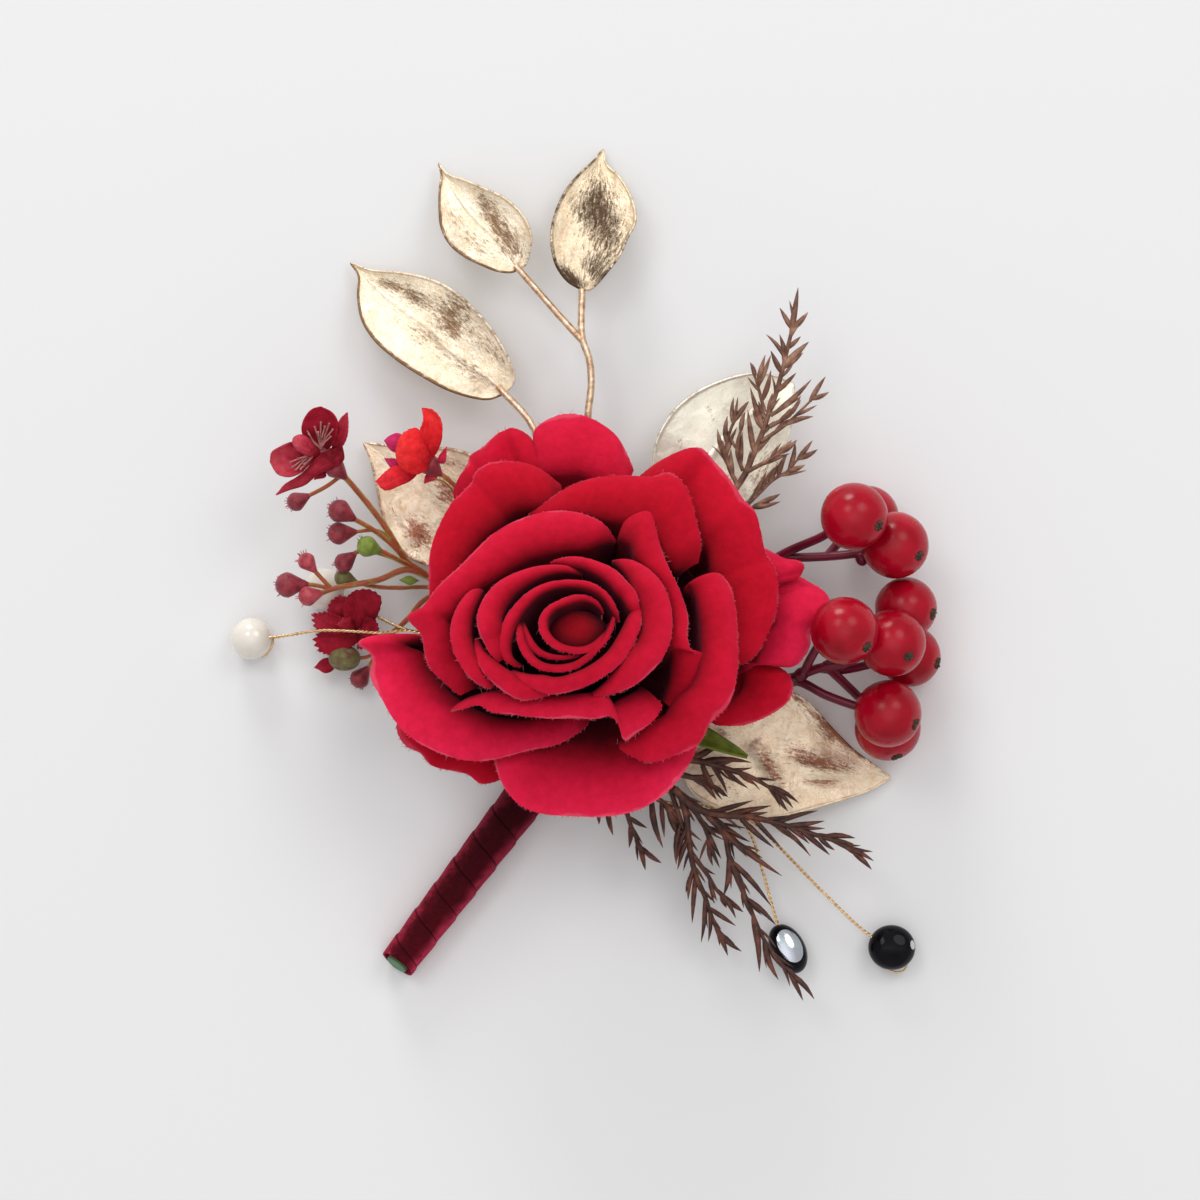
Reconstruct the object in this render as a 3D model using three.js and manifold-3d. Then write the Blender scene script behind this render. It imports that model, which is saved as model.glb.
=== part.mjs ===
// A boutonniere that lies on its back: one silk rose, gold leaves, red berries, brown sprigs, a spray of small
// blossoms, two pearls and two black beads, all bound at one knot, with a ribbon-wrapped stem.
// Millimetres, +Z up. The origin is the middle of the flat spot under the knot, on the surface it lies on.
// +Y runs to the top gold leaves, +X to the berries, and the wrapped stem points down to the left.
import * as THREE from "three";
import { mergeVertices } from "three/addons/utils/BufferGeometryUtils.js";
import Module from "manifold-3d";

const wasm = await Module();
wasm.setup();

// ---------------------------------------------------------------- driving dimensions
const GAP = 0.3; // between pieces that touch
const LEAF_THICK = 0.7;
const PETAL_THICK = 0.65;
const BLOSSOM_THICK = 0.6;

const KNOT_RADIUS = 5.4;
const KNOT_HEIGHT = 4.4; // height of its centre
const SLOT_LOW = 1.8; // heights of the two rows of holes that the stems stand in
const SLOT_HIGH = 6.5;
const SLOT_FLOOR = 3.4; // distance of a hole's floor from the knot's upright axis

const STEM_ANGLE = 52.5; // direction of the wrapped stem, in degrees from +X
const STEM_LENGTH = 42.3; // from the knot's centre to the cut end
const STEM_RADIUS = 1.5;
const WRAP_RADIUS = 3.28;
const WRAP_STEP = 0.3; // what one turn of ribbon stands proud of the next
const WRAP_PITCH = 4.6;
const WRAP_SLANT = 0.26; // how far a turn's edge climbs along the stem for each millimetre across it

const ROSE_TILT = 22; // degrees, towards +Y
const ROSE_BASE = new THREE.Vector3(1.8, 7.8, 13);
const CORE_RADIUS = 4;
const CUP_DEPTH = 3.2;

const BERRY_RADIUS = 4.75;
const BERRY_STALK = 0.65;
const LEAF_STEM = 0.55;
const TWIG_RADIUS = 0.45;
const NEEDLE_WIDTH = 1;
const SPRAY_STEM = 0.55;
const SPRAY_STALK = 0.4;
const PEARL_RADIUS = 3;
const WIRE_RADIUS = 0.3;
const HOLE_END = 1; // distance of a wire's end from the middle of its bead

// ---------------------------------------------------------------- finishes
const finish = (color, roughness, metalness = 0) => new THREE.MeshStandardMaterial({ color, roughness, metalness });
const ROSE_RED = finish(0xb8102c, 0.85);
const GREEN = finish(0x4c6a24, 0.6);
const RIBBON = finish(0x5a0a1c, 0.9);
const TAPE = finish(0x3d4a28, 0.8);
const GOLD = finish(0xd9b98a, 0.35, 0.9);
const BERRY_RED = finish(0x9c0d1e, 0.25);
const TWIG_BROWN = finish(0x4a2a1e, 0.8);
const SPRAY_OLIVE = finish(0x8a5a33, 0.6);
const BLOSSOM_RED = finish(0xc01a2c, 0.7);
const PEARL_WHITE = finish(0xf2ece4, 0.2);
const WIRE_GOLD = finish(0xc9a060, 0.35, 0.9);
const BEAD_BLACK = finish(0x0a0a0c, 0.1);

// ---------------------------------------------------------------- solids
const rad = THREE.MathUtils.degToRad;
const vec = (x, y, z) => new THREE.Vector3(x, y, z);

// A seeded draw, the same on each run.
function draws(seed) {
  let state = seed;
  return (low, high) => {
    state = (state * 1664525 + 1013904223) % 4294967296;
    return low + ((high - low) * state) / 4294967296;
  };
}

// A closed geometry as a solid that can be joined and cut.
function solid(geometry) {
  const bare = geometry.clone();
  for (const name of Object.keys(bare.attributes)) if (name !== "position") bare.deleteAttribute(name);
  const merged = mergeVertices(bare, 1e-3);
  return new wasm.Manifold(
    new wasm.Mesh({
      numProp: 3,
      vertProperties: merged.attributes.position.array,
      triVerts: new Uint32Array(merged.index.array),
    }),
  );
}

const fuse = (pieces) => pieces.map(solid).reduce((whole, piece) => whole.add(piece));

function geometryOf(joined) {
  const mesh = joined.getMesh();
  const geometry = new THREE.BufferGeometry();
  geometry.setAttribute("position", new THREE.BufferAttribute(mesh.vertProperties, 3));
  geometry.setIndex(new THREE.BufferAttribute(mesh.triVerts, 1));
  geometry.computeVertexNormals();
  return geometry;
}

// A thin blade over a grid: place(u, v) gives its middle surface for u and v from 0 to 1. Both faces are split alike.
function blade(across, along, thick, place) {
  const nudge = 1e-3;
  const front = [];
  const back = [];
  for (let j = 0; j <= along; j++)
    for (let i = 0; i <= across; i++) {
      const u = i / across;
      const v = j / along;
      const sideways = place(Math.min(u + nudge, 1), v).sub(place(Math.max(u - nudge, 0), v));
      const onwards = place(u, Math.min(v + nudge, 1)).sub(place(u, Math.max(v - nudge, 0)));
      const half = sideways.cross(onwards).setLength(thick / 2);
      front.push(place(u, v).add(half));
      back.push(place(u, v).sub(half));
    }
  const count = front.length;
  const at = (i, j) => j * (across + 1) + i;
  const faces = [];
  for (let j = 0; j < along; j++)
    for (let i = 0; i < across; i++) {
      const [a, b, c, d] = [at(i, j), at(i + 1, j), at(i + 1, j + 1), at(i, j + 1)];
      faces.push(a, b, c, a, c, d);
      faces.push(count + a, count + c, count + b, count + a, count + d, count + c);
    }
  const rim = [];
  for (let i = 0; i < across; i++) rim.push(at(i, 0));
  for (let j = 0; j < along; j++) rim.push(at(across, j));
  for (let i = across; i > 0; i--) rim.push(at(i, along));
  for (let j = along; j > 0; j--) rim.push(at(0, j));
  rim.forEach((p, n) => {
    const q = rim[(n + 1) % rim.length];
    faces.push(q, p, count + p, q, count + p, count + q);
  });
  return new THREE.BufferGeometry().setFromPoints([...front, ...back]).setIndex(faces);
}

const curveThrough = (points) => new THREE.CatmullRomCurve3(points, false, "centripetal");

// A round stem or wire through the given points.
function tube(points, radius, sides = 5, steps = points.length + 1) {
  const section = new THREE.Shape();
  for (let k = 0; k < sides; k++) {
    const turn = (k / sides) * 2 * Math.PI;
    if (k === 0) section.moveTo(radius, 0);
    else section.lineTo(radius * Math.cos(turn), radius * Math.sin(turn));
  }
  return new THREE.ExtrudeGeometry(section, { steps, bevelEnabled: false, extrudePath: curveThrough(points) });
}

const ball = (centre, radius, wide = 10, high = 8, stretch = vec(1, 1, 1)) =>
  new THREE.SphereGeometry(radius, wide, high)
    .rotateX(Math.PI / 2)
    .scale(stretch.x, stretch.y, stretch.z)
    .translate(centre.x, centre.y, centre.z);

// A solid of turning about Z, stood at a point and leaned along a direction.
function leaned(geometry, foot, direction) {
  const turn = new THREE.Quaternion().setFromUnitVectors(vec(0, 0, 1), direction.clone().normalize());
  return geometry.applyQuaternion(turn).translate(foot.x, foot.y, foot.z);
}

// A three-sided needle, flattened across its side, from its root to its tip.
function needle(root, tip, width) {
  const along = tip.clone().sub(root);
  const cone = new THREE.ConeGeometry(width / 2, along.length(), 3, 1).rotateX(Math.PI / 2);
  return leaned(cone.translate(0, 0, along.length() / 2), root, along);
}

// ---------------------------------------------------------------- the object and its knot
const boutonniere = new THREE.Group();
const slots = [];

function add(name, geometry, material, parent = boutonniere) {
  const mesh = new THREE.Mesh(geometry, material);
  mesh.name = name;
  parent.add(mesh);
  return mesh;
}

// A hole in the knot at a compass angle and height, and the first points of the stem that stands in it.
function fromKnot(angle, height, radius) {
  slots.push({ angle, height, radius });
  const out = (distance) =>
    vec(distance * Math.cos(rad(angle)), distance * Math.sin(rad(angle)), height);
  return [out(SLOT_FLOOR + GAP), out(KNOT_RADIUS), out(KNOT_RADIUS + 2)];
}

// ---------------------------------------------------------------- leaves
// A leaf between two edges that run from its base to its tip. It arches up by rise and folds up at the sides by fold.
function leaf({ left, right, baseHeight, tipHeight, rise, fold, cells = [4, 6] }) {
  const edge = (points) => new THREE.SplineCurve(points.map(([x, y]) => new THREE.Vector2(x, y)));
  const [edgeLeft, edgeRight] = [edge(left), edge(right)];
  const blunt = 0.04; // keeps the base and the tip from closing to a point
  return blade(cells[0], cells[1], LEAF_THICK, (u, v) => {
    const along = blunt + v * (1 - 1.5 * blunt);
    const a = edgeLeft.getPoint(along);
    const b = edgeRight.getPoint(along);
    const side = 2 * u - 1;
    const height = THREE.MathUtils.lerp(baseHeight, tipHeight, along) + rise * Math.sin(Math.PI * along);
    const lift = fold * side * side * Math.sin(Math.PI * along);
    return vec(THREE.MathUtils.lerp(b.x, a.x, u), THREE.MathUtils.lerp(b.y, a.y, u), height + lift);
  });
}

function goldLeaves() {
  const topLeft = leaf({
    left: [[-7.8, 66.1], [-13, 66.5], [-16, 68.3], [-18.3, 71.2], [-19.1, 76.2], [-19.4, 82]],
    right: [[-7.8, 66.1], [-6.1, 68.6], [-6.3, 72.1], [-8.1, 75.1], [-11.6, 77.9], [-19.4, 82]],
    baseHeight: 7,
    tipHeight: 0.8,
    rise: 2.5,
    fold: 1.2,
  });
  const topRight = leaf({
    left: [[0.9, 62.9], [-1.1, 64.8], [-3.3, 70.9], [-2.8, 74.8], [-1.1, 78.2], [4, 83.8]],
    right: [[0.9, 62.9], [2.7, 63.9], [5.3, 67.2], [8.9, 74.8], [7.7, 78.2], [4, 83.8]],
    baseHeight: 7,
    tipHeight: 0.8,
    rise: 2.5,
    fold: 1.2,
  });
  const main = tube(
    [...fromKnot(99, SLOT_LOW, LEAF_STEM), vec(0.8, 20, 4.5), vec(1.6, 34, 7), vec(2, 45.2, 8), vec(2.5, 50, 8),
      vec(2.2, 53.5, 8), vec(1.2, 56.5, 8), vec(1.2, 64.5, 7.3)],
    LEAF_STEM, 5, 16);
  const fork = tube([vec(1.4, 55.9, 8), vec(-1.4, 58.9, 7.9), vec(-4.2, 62.1, 7.6), vec(-8.8, 67.4, 7.3)], LEAF_STEM);
  add("gold_spray_top", geometryOf(fuse([topLeft, topRight, main, fork])), GOLD);

  const left = leaf({
    left: [[-10.2, 48.8], [-16, 48.5], [-20.3, 50.2], [-25.3, 53.5], [-28.7, 57.2], [-31.1, 62.5], [-32.2, 67.7]],
    right: [[-10.2, 48.8], [-8.7, 52.9], [-10.7, 56.9], [-13.6, 60.8], [-17.4, 63.9], [-21.7, 65.3], [-32.2, 67.7]],
    baseHeight: 6.5,
    tipHeight: 0.7,
    rise: 3,
    fold: 1.5,
  });
  const leftStem = tube(
    [...fromKnot(118, SLOT_HIGH, LEAF_STEM), vec(-5, 22, 7.6), vec(-4.6, 36, 8), vec(-5.7, 43.6, 8),
      vec(-11.5, 50.4, 7)],
    LEAF_STEM);
  add("gold_leaf_left", geometryOf(fuse([left, leftStem])), GOLD);

  const behind = leaf({
    left: [[-7, 23.5], [-13, 21.5], [-20.6, 24], [-26, 27.7], [-28.3, 35.6], [-30.2, 41.7]],
    right: [[-7, 23.5], [-6, 29], [-9.5, 36], [-15.3, 40.2], [-21, 41.2], [-30.2, 41.7]],
    baseHeight: 4.2,
    tipHeight: 1.5,
    rise: 1,
    fold: 1,
  });
  const behindStem = tube([...fromKnot(122, SLOT_LOW, LEAF_STEM), vec(-6, 17.5, 3.4), vec(-9.5, 25.5, 4.7)], LEAF_STEM);
  add("gold_leaf_behind_flowers", geometryOf(fuse([behind, behindStem])), GOLD);

  const upperRight = leaf({
    left: [[14, 28], [11.3, 34], [11.4, 40.5], [15, 47], [21, 50.6], [31.5, 50.2]],
    right: [[14, 28], [19, 29], [25, 33.5], [29.5, 39.5], [31.2, 45], [31.5, 50.2]],
    baseHeight: 4.5,
    tipHeight: 4,
    rise: 1.5,
    fold: 1,
  });
  const upperStem = tube([...fromKnot(77, SLOT_LOW, LEAF_STEM), vec(8.5, 19, 3.4), vec(15.5, 31, 5)], LEAF_STEM);
  add("gold_leaf_upper_right", geometryOf(fuse([upperRight, upperStem])), GOLD);

  const lowerRight = leaf({
    left: [[15.5, -3], [19, 4], [26, 7.5], [33, 4.9], [40.1, -1.7], [45.6, -6.5]],
    right: [[15.5, -3], [20, -9.5], [27.2, -11.6], [32.5, -10.9], [38, -9.2], [45.6, -6.5]],
    baseHeight: 5.5,
    tipHeight: 1,
    rise: 1,
    fold: 1,
  });
  const lowerStem = tube([...fromKnot(-12, SLOT_LOW, LEAF_STEM), vec(11, -2.6, 3.5), vec(18.5, -3, 5.6)], LEAF_STEM);
  add("gold_leaf_lower_right", geometryOf(fuse([lowerRight, lowerStem])), GOLD);
}

// ---------------------------------------------------------------- rose
// A petal rises from the core by a belly, and its lip leans out over the last few millimetres to its free edge.
// rim holds [degrees round the axis, radius, height] along that edge, in the bloom's own frame.
function petal({ rim, lip, roll = 1.5, belly = 0.8, sink = 0.5, narrow = 0.6, oval = 1, cells = [6, 4] }) {
  const edge = curveThrough(rim.map(([angle, radius, height]) => vec(angle, radius, height)));
  const middle = (rim[0][0] + rim[rim.length - 1][0]) / 2;
  const rootRadius = CORE_RADIUS - 2;
  return blade(cells[0], cells[1], PETAL_THICK, (u, v) => {
    const end = edge.getPoint(u);
    const angle = rad(THREE.MathUtils.lerp(middle + (end.x - middle) * narrow, end.x, Math.sqrt(v)));
    const profile = new THREE.CubicBezierCurve(
      new THREE.Vector2(rootRadius, sink),
      new THREE.Vector2(rootRadius + belly * (end.y - rootRadius), sink),
      new THREE.Vector2(end.y - lip, end.z + roll),
      new THREE.Vector2(end.y, end.z),
    ).getPoint(v);
    return vec(profile.x * Math.cos(angle), oval * profile.x * Math.sin(angle), profile.y);
  });
}

const HEART = { oval: 0.84, roll: 1.8, belly: 1.25, cells: [5, 4] };

const PETALS = [
  // the heart, from the bud outwards
  { ...HEART, sink: 12, lip: 0.8, rim: [[78, 4.4, 22], [135, 4.9, 23], [176, 6.3, 23], [255, 5.7, 23], [311, 4.1, 22]] },
  { ...HEART, sink: 11, lip: 0.8, rim: [[186, 9.2, 23], [208, 9.4, 23], [260, 8.6, 23], [288, 6.5, 23], [343, 4.5, 22]] },
  { ...HEART, sink: 11, lip: 2, rim: [[171, 10.5, 23], [134, 8.8, 23], [111, 7.5, 23], [82, 5.4, 23], [32, 3.8, 23]] },
  { ...HEART, sink: 9, lip: 2.8, rim: [[119, 11.8, 22], [103, 11.9, 22], [86, 10.9, 22], [63, 9.3, 22], [11, 7.5, 22]] },
  { ...HEART, sink: 9, lip: 3, rim: [[102, 10, 22], [123, 11.3, 23], [149, 13.7, 23], [180, 14.8, 23], [215, 14.7, 23]] },
  { ...HEART, sink: 9, lip: 3, rim: [[225, 13.1, 22], [242, 14, 22], [268, 11.7, 22], [290, 9.1, 22], [330, 7, 22], [384, 6.7, 22]] },
  { ...HEART, sink: 7, lip: 3, rim: [[203, 15.7, 20.5], [220, 15.5, 20.5], [235, 14.8, 20.5], [250, 13, 20]] },
  { ...HEART, sink: 7, lip: 3, rim: [[150, 15.8, 20], [166, 17.8, 21], [180, 18.3, 21], [197, 18.2, 21], [222, 16.3, 20.5]] },
  { ...HEART, sink: 6, lip: 4, rim: [[69, 12.7, 20], [54, 13.8, 21], [15, 11.9, 21], [-33, 11.6, 21], [-57, 12.3, 21], [-88, 12.3, 20]] },
  // the middle ring
  { sink: 4, lip: 8, roll: 3, rim: [[74, 16, 19], [88, 19.6, 20], [112, 22, 20], [143, 20, 20], [170, 23.6, 18], [185, 21.7, 14]] },
  { sink: 4, lip: 4.5, roll: 2, rim: [[79, 16.9, 18], [66, 22.5, 20], [49, 17.5, 19], [29, 15.2, 19], [2, 14.5, 18], [-25, 16.5, 13]] },
  { sink: 4, lip: 3.5, roll: 2.5, rim: [[207, 20.9, 17], [217, 22.6, 17], [243, 17.5, 19], [267, 16, 19], [284, 16.4, 19], [314, 14.6, 16]] },
  // the outer ring
  { lip: 6, roll: 2.5, sink: 2, rim: [[164, 23.3, 14], [142, 26.6, 16], [131, 27.9, 16], [117, 29.6, 16], [100, 25.1, 14]] },
  { lip: 6, roll: 2, sink: 3, rim: [[111, 19.9, 16], [99, 22.2, 17], [85, 23.4, 18], [68, 26, 18], [48, 21.5, 17]] },
  { lip: 8, roll: 2.5, sink: 1.5, rim: [[74, 27, 13], [61, 33, 15], [52, 30.9, 15], [30, 29.4, 14], [0, 26.2, 12], [-14, 24.2, 11]] },
  { lip: 6, roll: 3.5, sink: 3, rim: [[31, 18.5, 17], [14, 21.4, 17], [-9, 21.3, 16], [-23, 21.6, 14], [-41, 20.8, 12], [-70, 15.9, 12]] },
  { lip: 9, roll: 3, rim: [[172, 24.8, 12], [180, 30.6, 10], [194, 28.9, 10], [215, 26.2, 10], [236, 18.5, 10], [262, 13.5, 10]] },
  { lip: 8, roll: 3, sink: 0, rim: [[229, 19.3, 7], [247, 23, 7], [265, 23, 7], [289, 23, 7], [314, 21, 8], [333, 19.7, 8]] },
  { lip: 9, roll: 2, sink: 0, rim: [[106, 31, 11], [98, 35, 12], [91, 35.4, 12], [84, 33.2, 12], [74, 27.3, 11]] },
  { lip: 8, roll: 2, sink: 0, cells: [4, 4], rim: [[129, 28.5, 10], [121, 32.2, 10.5], [113, 35, 10.5], [103, 33.1, 11]] },
  { lip: 9, roll: 1.5, sink: -0.3, cells: [4, 4], rim: [[33, 29.5, 3], [25, 33.5, 4], [15, 34, 4], [5, 31.5, 4], [0, 25.5, 3.5]] },
  { lip: 7, roll: 1.5, sink: -0.5, cells: [4, 4], rim: [[8, 24.5, 4], [1, 28.4, 5], [-10, 28, 5], [-21, 21, 4]] },
  { lip: 6, roll: 1, sink: -0.5, cells: [4, 4], rim: [[197, 28.3, 3], [211, 27, 2.5], [222, 24.6, 2.5], [230, 19.5, 3]] },
];

function rose() {
  const head = new THREE.Group();
  head.position.copy(ROSE_BASE);
  head.rotation.x = -rad(ROSE_TILT);
  boutonniere.add(head);

  const coreProfile = [[0, -0.8], [CORE_RADIUS - 1, -0.8], [CORE_RADIUS, 1], [CORE_RADIUS, 12], [3.6, 18], [2, 20.6], [0, 21.2]];
  const core = new THREE.LatheGeometry(coreProfile.map(([r, h]) => new THREE.Vector2(r, h)), 12).rotateX(Math.PI / 2);
  add("rose_bloom", geometryOf(fuse([core, ...PETALS.map(petal)])), ROSE_RED, head);

  // The cup under the bloom, with five long sepals.
  const cupTop = -0.8 - GAP;
  const cupProfile = [[0, cupTop - CUP_DEPTH], [1.9, cupTop - CUP_DEPTH], [3, cupTop - 2], [3.6, cupTop], [0, cupTop]];
  const cup = new THREE.LatheGeometry(cupProfile.map(([r, h]) => new THREE.Vector2(r, h)), 10).rotateX(Math.PI / 2);
  const sepals = [[-24, 25.5, -4], [48, 11.5, -0.9], [120, 11.5, -0.9], [192, 15, -2.5], [264, 15, -3.5]];
  const sepal = ([angle, reach, drop]) =>
    blade(2, 4, LEAF_THICK, (u, v) => {
      const distance = THREE.MathUtils.lerp(1.5, reach, v);
      const halfWidth = 0.3 + 1.9 * Math.sin(Math.PI * (0.25 + 0.74 * v));
      const height = THREE.MathUtils.lerp(cupTop - 1, drop, v);
      return vec(distance, (2 * u - 1) * halfWidth, height).applyAxisAngle(vec(0, 0, 1), rad(angle));
    });
  add("rose_calyx", geometryOf(fuse([cup, ...sepals.map(sepal)])), GREEN, head);
  head.updateMatrixWorld(true);
  return [3, GAP].map((below) => head.localToWorld(vec(0, 0, cupTop - CUP_DEPTH - below)));
}

// ---------------------------------------------------------------- wrapped stem and knot
const stemWay = vec(Math.cos(rad(STEM_ANGLE)), Math.sin(rad(STEM_ANGLE)), 0);
const onStem = (distance) => stemWay.clone().multiplyScalar(distance).setZ(WRAP_RADIUS);

function stemAndKnot(cupFoot) {
  const rising = [vec(0.4, 1.4, 3.7), vec(1.2, 3.4, 4.7), ...cupFoot];
  const route = [onStem(-STEM_LENGTH), onStem(-30), onStem(-18), onStem(-7), onStem(-2), ...rising];
  add("rose_stem", geometryOf(solid(tube(route, STEM_RADIUS, 8, 14))), GREEN);

  // Each turn of ribbon laps over the last with a step, and lies a little askew round the stem.
  const inner = STEM_RADIUS + GAP;
  const start = -STEM_LENGTH - 2 * WRAP_PITCH;
  const turns = Math.ceil(STEM_LENGTH / WRAP_PITCH) + 3;
  const profile = [new THREE.Vector2(inner, start)];
  for (let turn = 0; turn < turns; turn++) {
    const foot = start + turn * WRAP_PITCH;
    profile.push(new THREE.Vector2(WRAP_RADIUS - WRAP_STEP, foot));
    profile.push(new THREE.Vector2(WRAP_RADIUS, foot + 0.96 * WRAP_PITCH));
  }
  profile.push(new THREE.Vector2(inner, start + turns * WRAP_PITCH), profile[0]);
  const wound = new THREE.LatheGeometry(profile, 14).rotateX(Math.PI / 2);
  const askew = new THREE.Matrix4().set(1, 0, 0, 0, 0, 1, 0, 0, WRAP_SLANT, 0, 1, 0, 0, 0, 0, 1);
  const length = STEM_LENGTH - KNOT_RADIUS - GAP;
  const trim = new THREE.BoxGeometry(20, 20, length).translate(0, 0, -STEM_LENGTH + length / 2);
  const wrap = geometryOf(solid(wound.applyMatrix4(askew)).intersect(solid(trim)));
  const leftOfStem = vec(-stemWay.y, stemWay.x, 0);
  wrap.applyMatrix4(new THREE.Matrix4().makeBasis(leftOfStem, vec(0, 0, 1), stemWay)).translate(0, 0, WRAP_RADIUS);
  add("ribbon_wrap", wrap, RIBBON);

  // The knot is a ball of tape and glue, flat below, with the rose's stem through it and a hole for each other stem.
  const whole = solid(new THREE.SphereGeometry(KNOT_RADIUS, 12, 8).rotateX(Math.PI / 2).translate(0, 0, KNOT_HEIGHT));
  const below = solid(new THREE.BoxGeometry(20, 20, 10).translate(0, 0, -5));
  const bore = solid(tube(route, STEM_RADIUS + GAP, 8, 14));
  const holes = slots.map(({ angle, height, radius }) => {
    const outer = (radius + GAP) / Math.cos(Math.PI / 6);
    const hole = new THREE.CylinderGeometry(outer, outer, KNOT_RADIUS, 6).rotateZ(Math.PI / 2);
    return solid(hole.translate(SLOT_FLOOR + KNOT_RADIUS / 2, 0, height).rotateZ(rad(angle)));
  });
  const cutter = holes.reduce((all, hole) => all.add(hole), bore.add(below));
  add("stem_binding", geometryOf(whole.subtract(cutter)), TAPE);
}

// ---------------------------------------------------------------- berries
// Berries on short stalks that branch from one stem, with a small dark star at each tip.
function berryCluster(name, stalks, berries) {
  const pieces = stalks.map((points) => tube(points, BERRY_STALK, 4));
  for (const { centre, radius = BERRY_RADIUS, star } of berries) {
    pieces.push(ball(centre, radius, 10, 7));
    const way = star.clone().sub(centre).normalize();
    const tip = centre.clone().addScaledVector(way, radius - 0.35);
    pieces.push(leaned(new THREE.ConeGeometry(1.1, 0.9, 5).rotateX(Math.PI / 2), tip, way));
  }
  add(name, geometryOf(fuse(pieces)), BERRY_RED);
}

function berries() {
  const upperRoot = vec(29, 25.2, 8);
  berryCluster(
    "berry_cluster_upper",
    [
      [...fromKnot(32, SLOT_LOW, BERRY_STALK), vec(14, 11.5, 3.5), vec(22, 19.5, 6), upperRoot, vec(35.3, 28.2, 13),
        vec(38.6, 30.4, 16.5)],
      [upperRoot, vec(32, 25.2, 8.5), vec(38, 25.5, 9), vec(43, 26.2, 10.5)],
      [vec(36, 25.3, 8.8), vec(39, 27.5, 6.5), vec(42.5, 29.8, 5.2)],
    ],
    [
      { centre: vec(39.4, 30.9, 18.2), star: vec(42.5, 29.6, 21) },
      { centre: vec(45.5, 26.9, 12.5), star: vec(48.2, 25.6, 15) },
      { centre: vec(44.4, 31.3, BERRY_RADIUS), radius: 4.5, star: vec(48, 34, 6) },
    ],
  );
  const lowerRoot = vec(30.2, 8.4, 9.5);
  const lowerFork = vec(33.4, 9.2, 11);
  berryCluster(
    "berry_cluster_lower",
    [
      [...fromKnot(12, SLOT_HIGH, BERRY_STALK), vec(15, 3.4, 7), vec(23, 6.2, 8.5), lowerRoot, lowerFork,
        vec(34.4, 12.1, 15), vec(36.8, 14, 18)],
      [lowerFork, vec(37, 10.2, 12.5), vec(42.5, 12.2, 14.5)],
      [vec(35.5, 9.6, 11.8), vec(40.4, 12.5, 9.5), vec(44.5, 16, 9.3)],
      [lowerFork, vec(38, 8.5, 9), vec(45, 10.6, 6)],
      [lowerRoot, vec(32.6, 7.1, 10), vec(38.4, 4.8, 12), vec(42, 3.6, 13)],
      [vec(36, 5.8, 11.2), vec(39, 3.2, 8), vec(42.5, 1.6, 6)],
    ],
    [
      { centre: vec(37.9, 14.9, 20.5), star: vec(40.8, 12.7, 23) },
      { centre: vec(44.9, 13.1, 15.5), star: vec(46.9, 11.3, 19) },
      { centre: vec(47.2, 18, 9.6), radius: 4.4, star: vec(50.8, 17.2, 11.5) },
      { centre: vec(48.1, 11.1, 4.5), radius: 4.4, star: vec(51.5, 10.3, 6) },
      { centre: vec(44.4, 3.1, 13.7), star: vec(48.1, 1.8, 16) },
      { centre: vec(44.9, 0.9, BERRY_RADIUS), star: vec(46, -3, 6.3) },
    ],
  );
}

// ---------------------------------------------------------------- brown sprigs
// A slim twig whose needles stand off it in turn to the left, the right, above and below, shorter towards its tip.
function sprig(points, { needles, reach, seed, bare = 0.05 }) {
  const curve = curveThrough(points);
  const draw = draws(seed);
  const pieces = [tube(points, TWIG_RADIUS, 4, points.length + 1)];
  const sideways = [90, -90, 40, -50];
  for (let k = 0; k < needles; k++) {
    const t = bare + (1 - bare) * (k / (needles - 1));
    const root = curve.getPointAt(t);
    const way = curve.getTangentAt(t);
    const turn = rad(sideways[k % 4] + draw(-15, 15));
    const across = vec(-way.y, way.x, 0).normalize();
    const side = across.multiplyScalar(Math.sin(turn)).add(vec(0, 0, Math.cos(turn) * (k % 8 < 4 ? 1 : -0.5)));
    const lean = k === needles - 1 ? 0 : rad(draw(28, 42));
    const length = reach * (1 - 0.4 * t) * draw(0.85, 1.15);
    const aim = way.multiplyScalar(Math.cos(lean)).addScaledVector(side, Math.sin(lean));
    pieces.push(needle(root, root.clone().addScaledVector(aim, length), NEEDLE_WIDTH));
  }
  return pieces;
}

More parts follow.
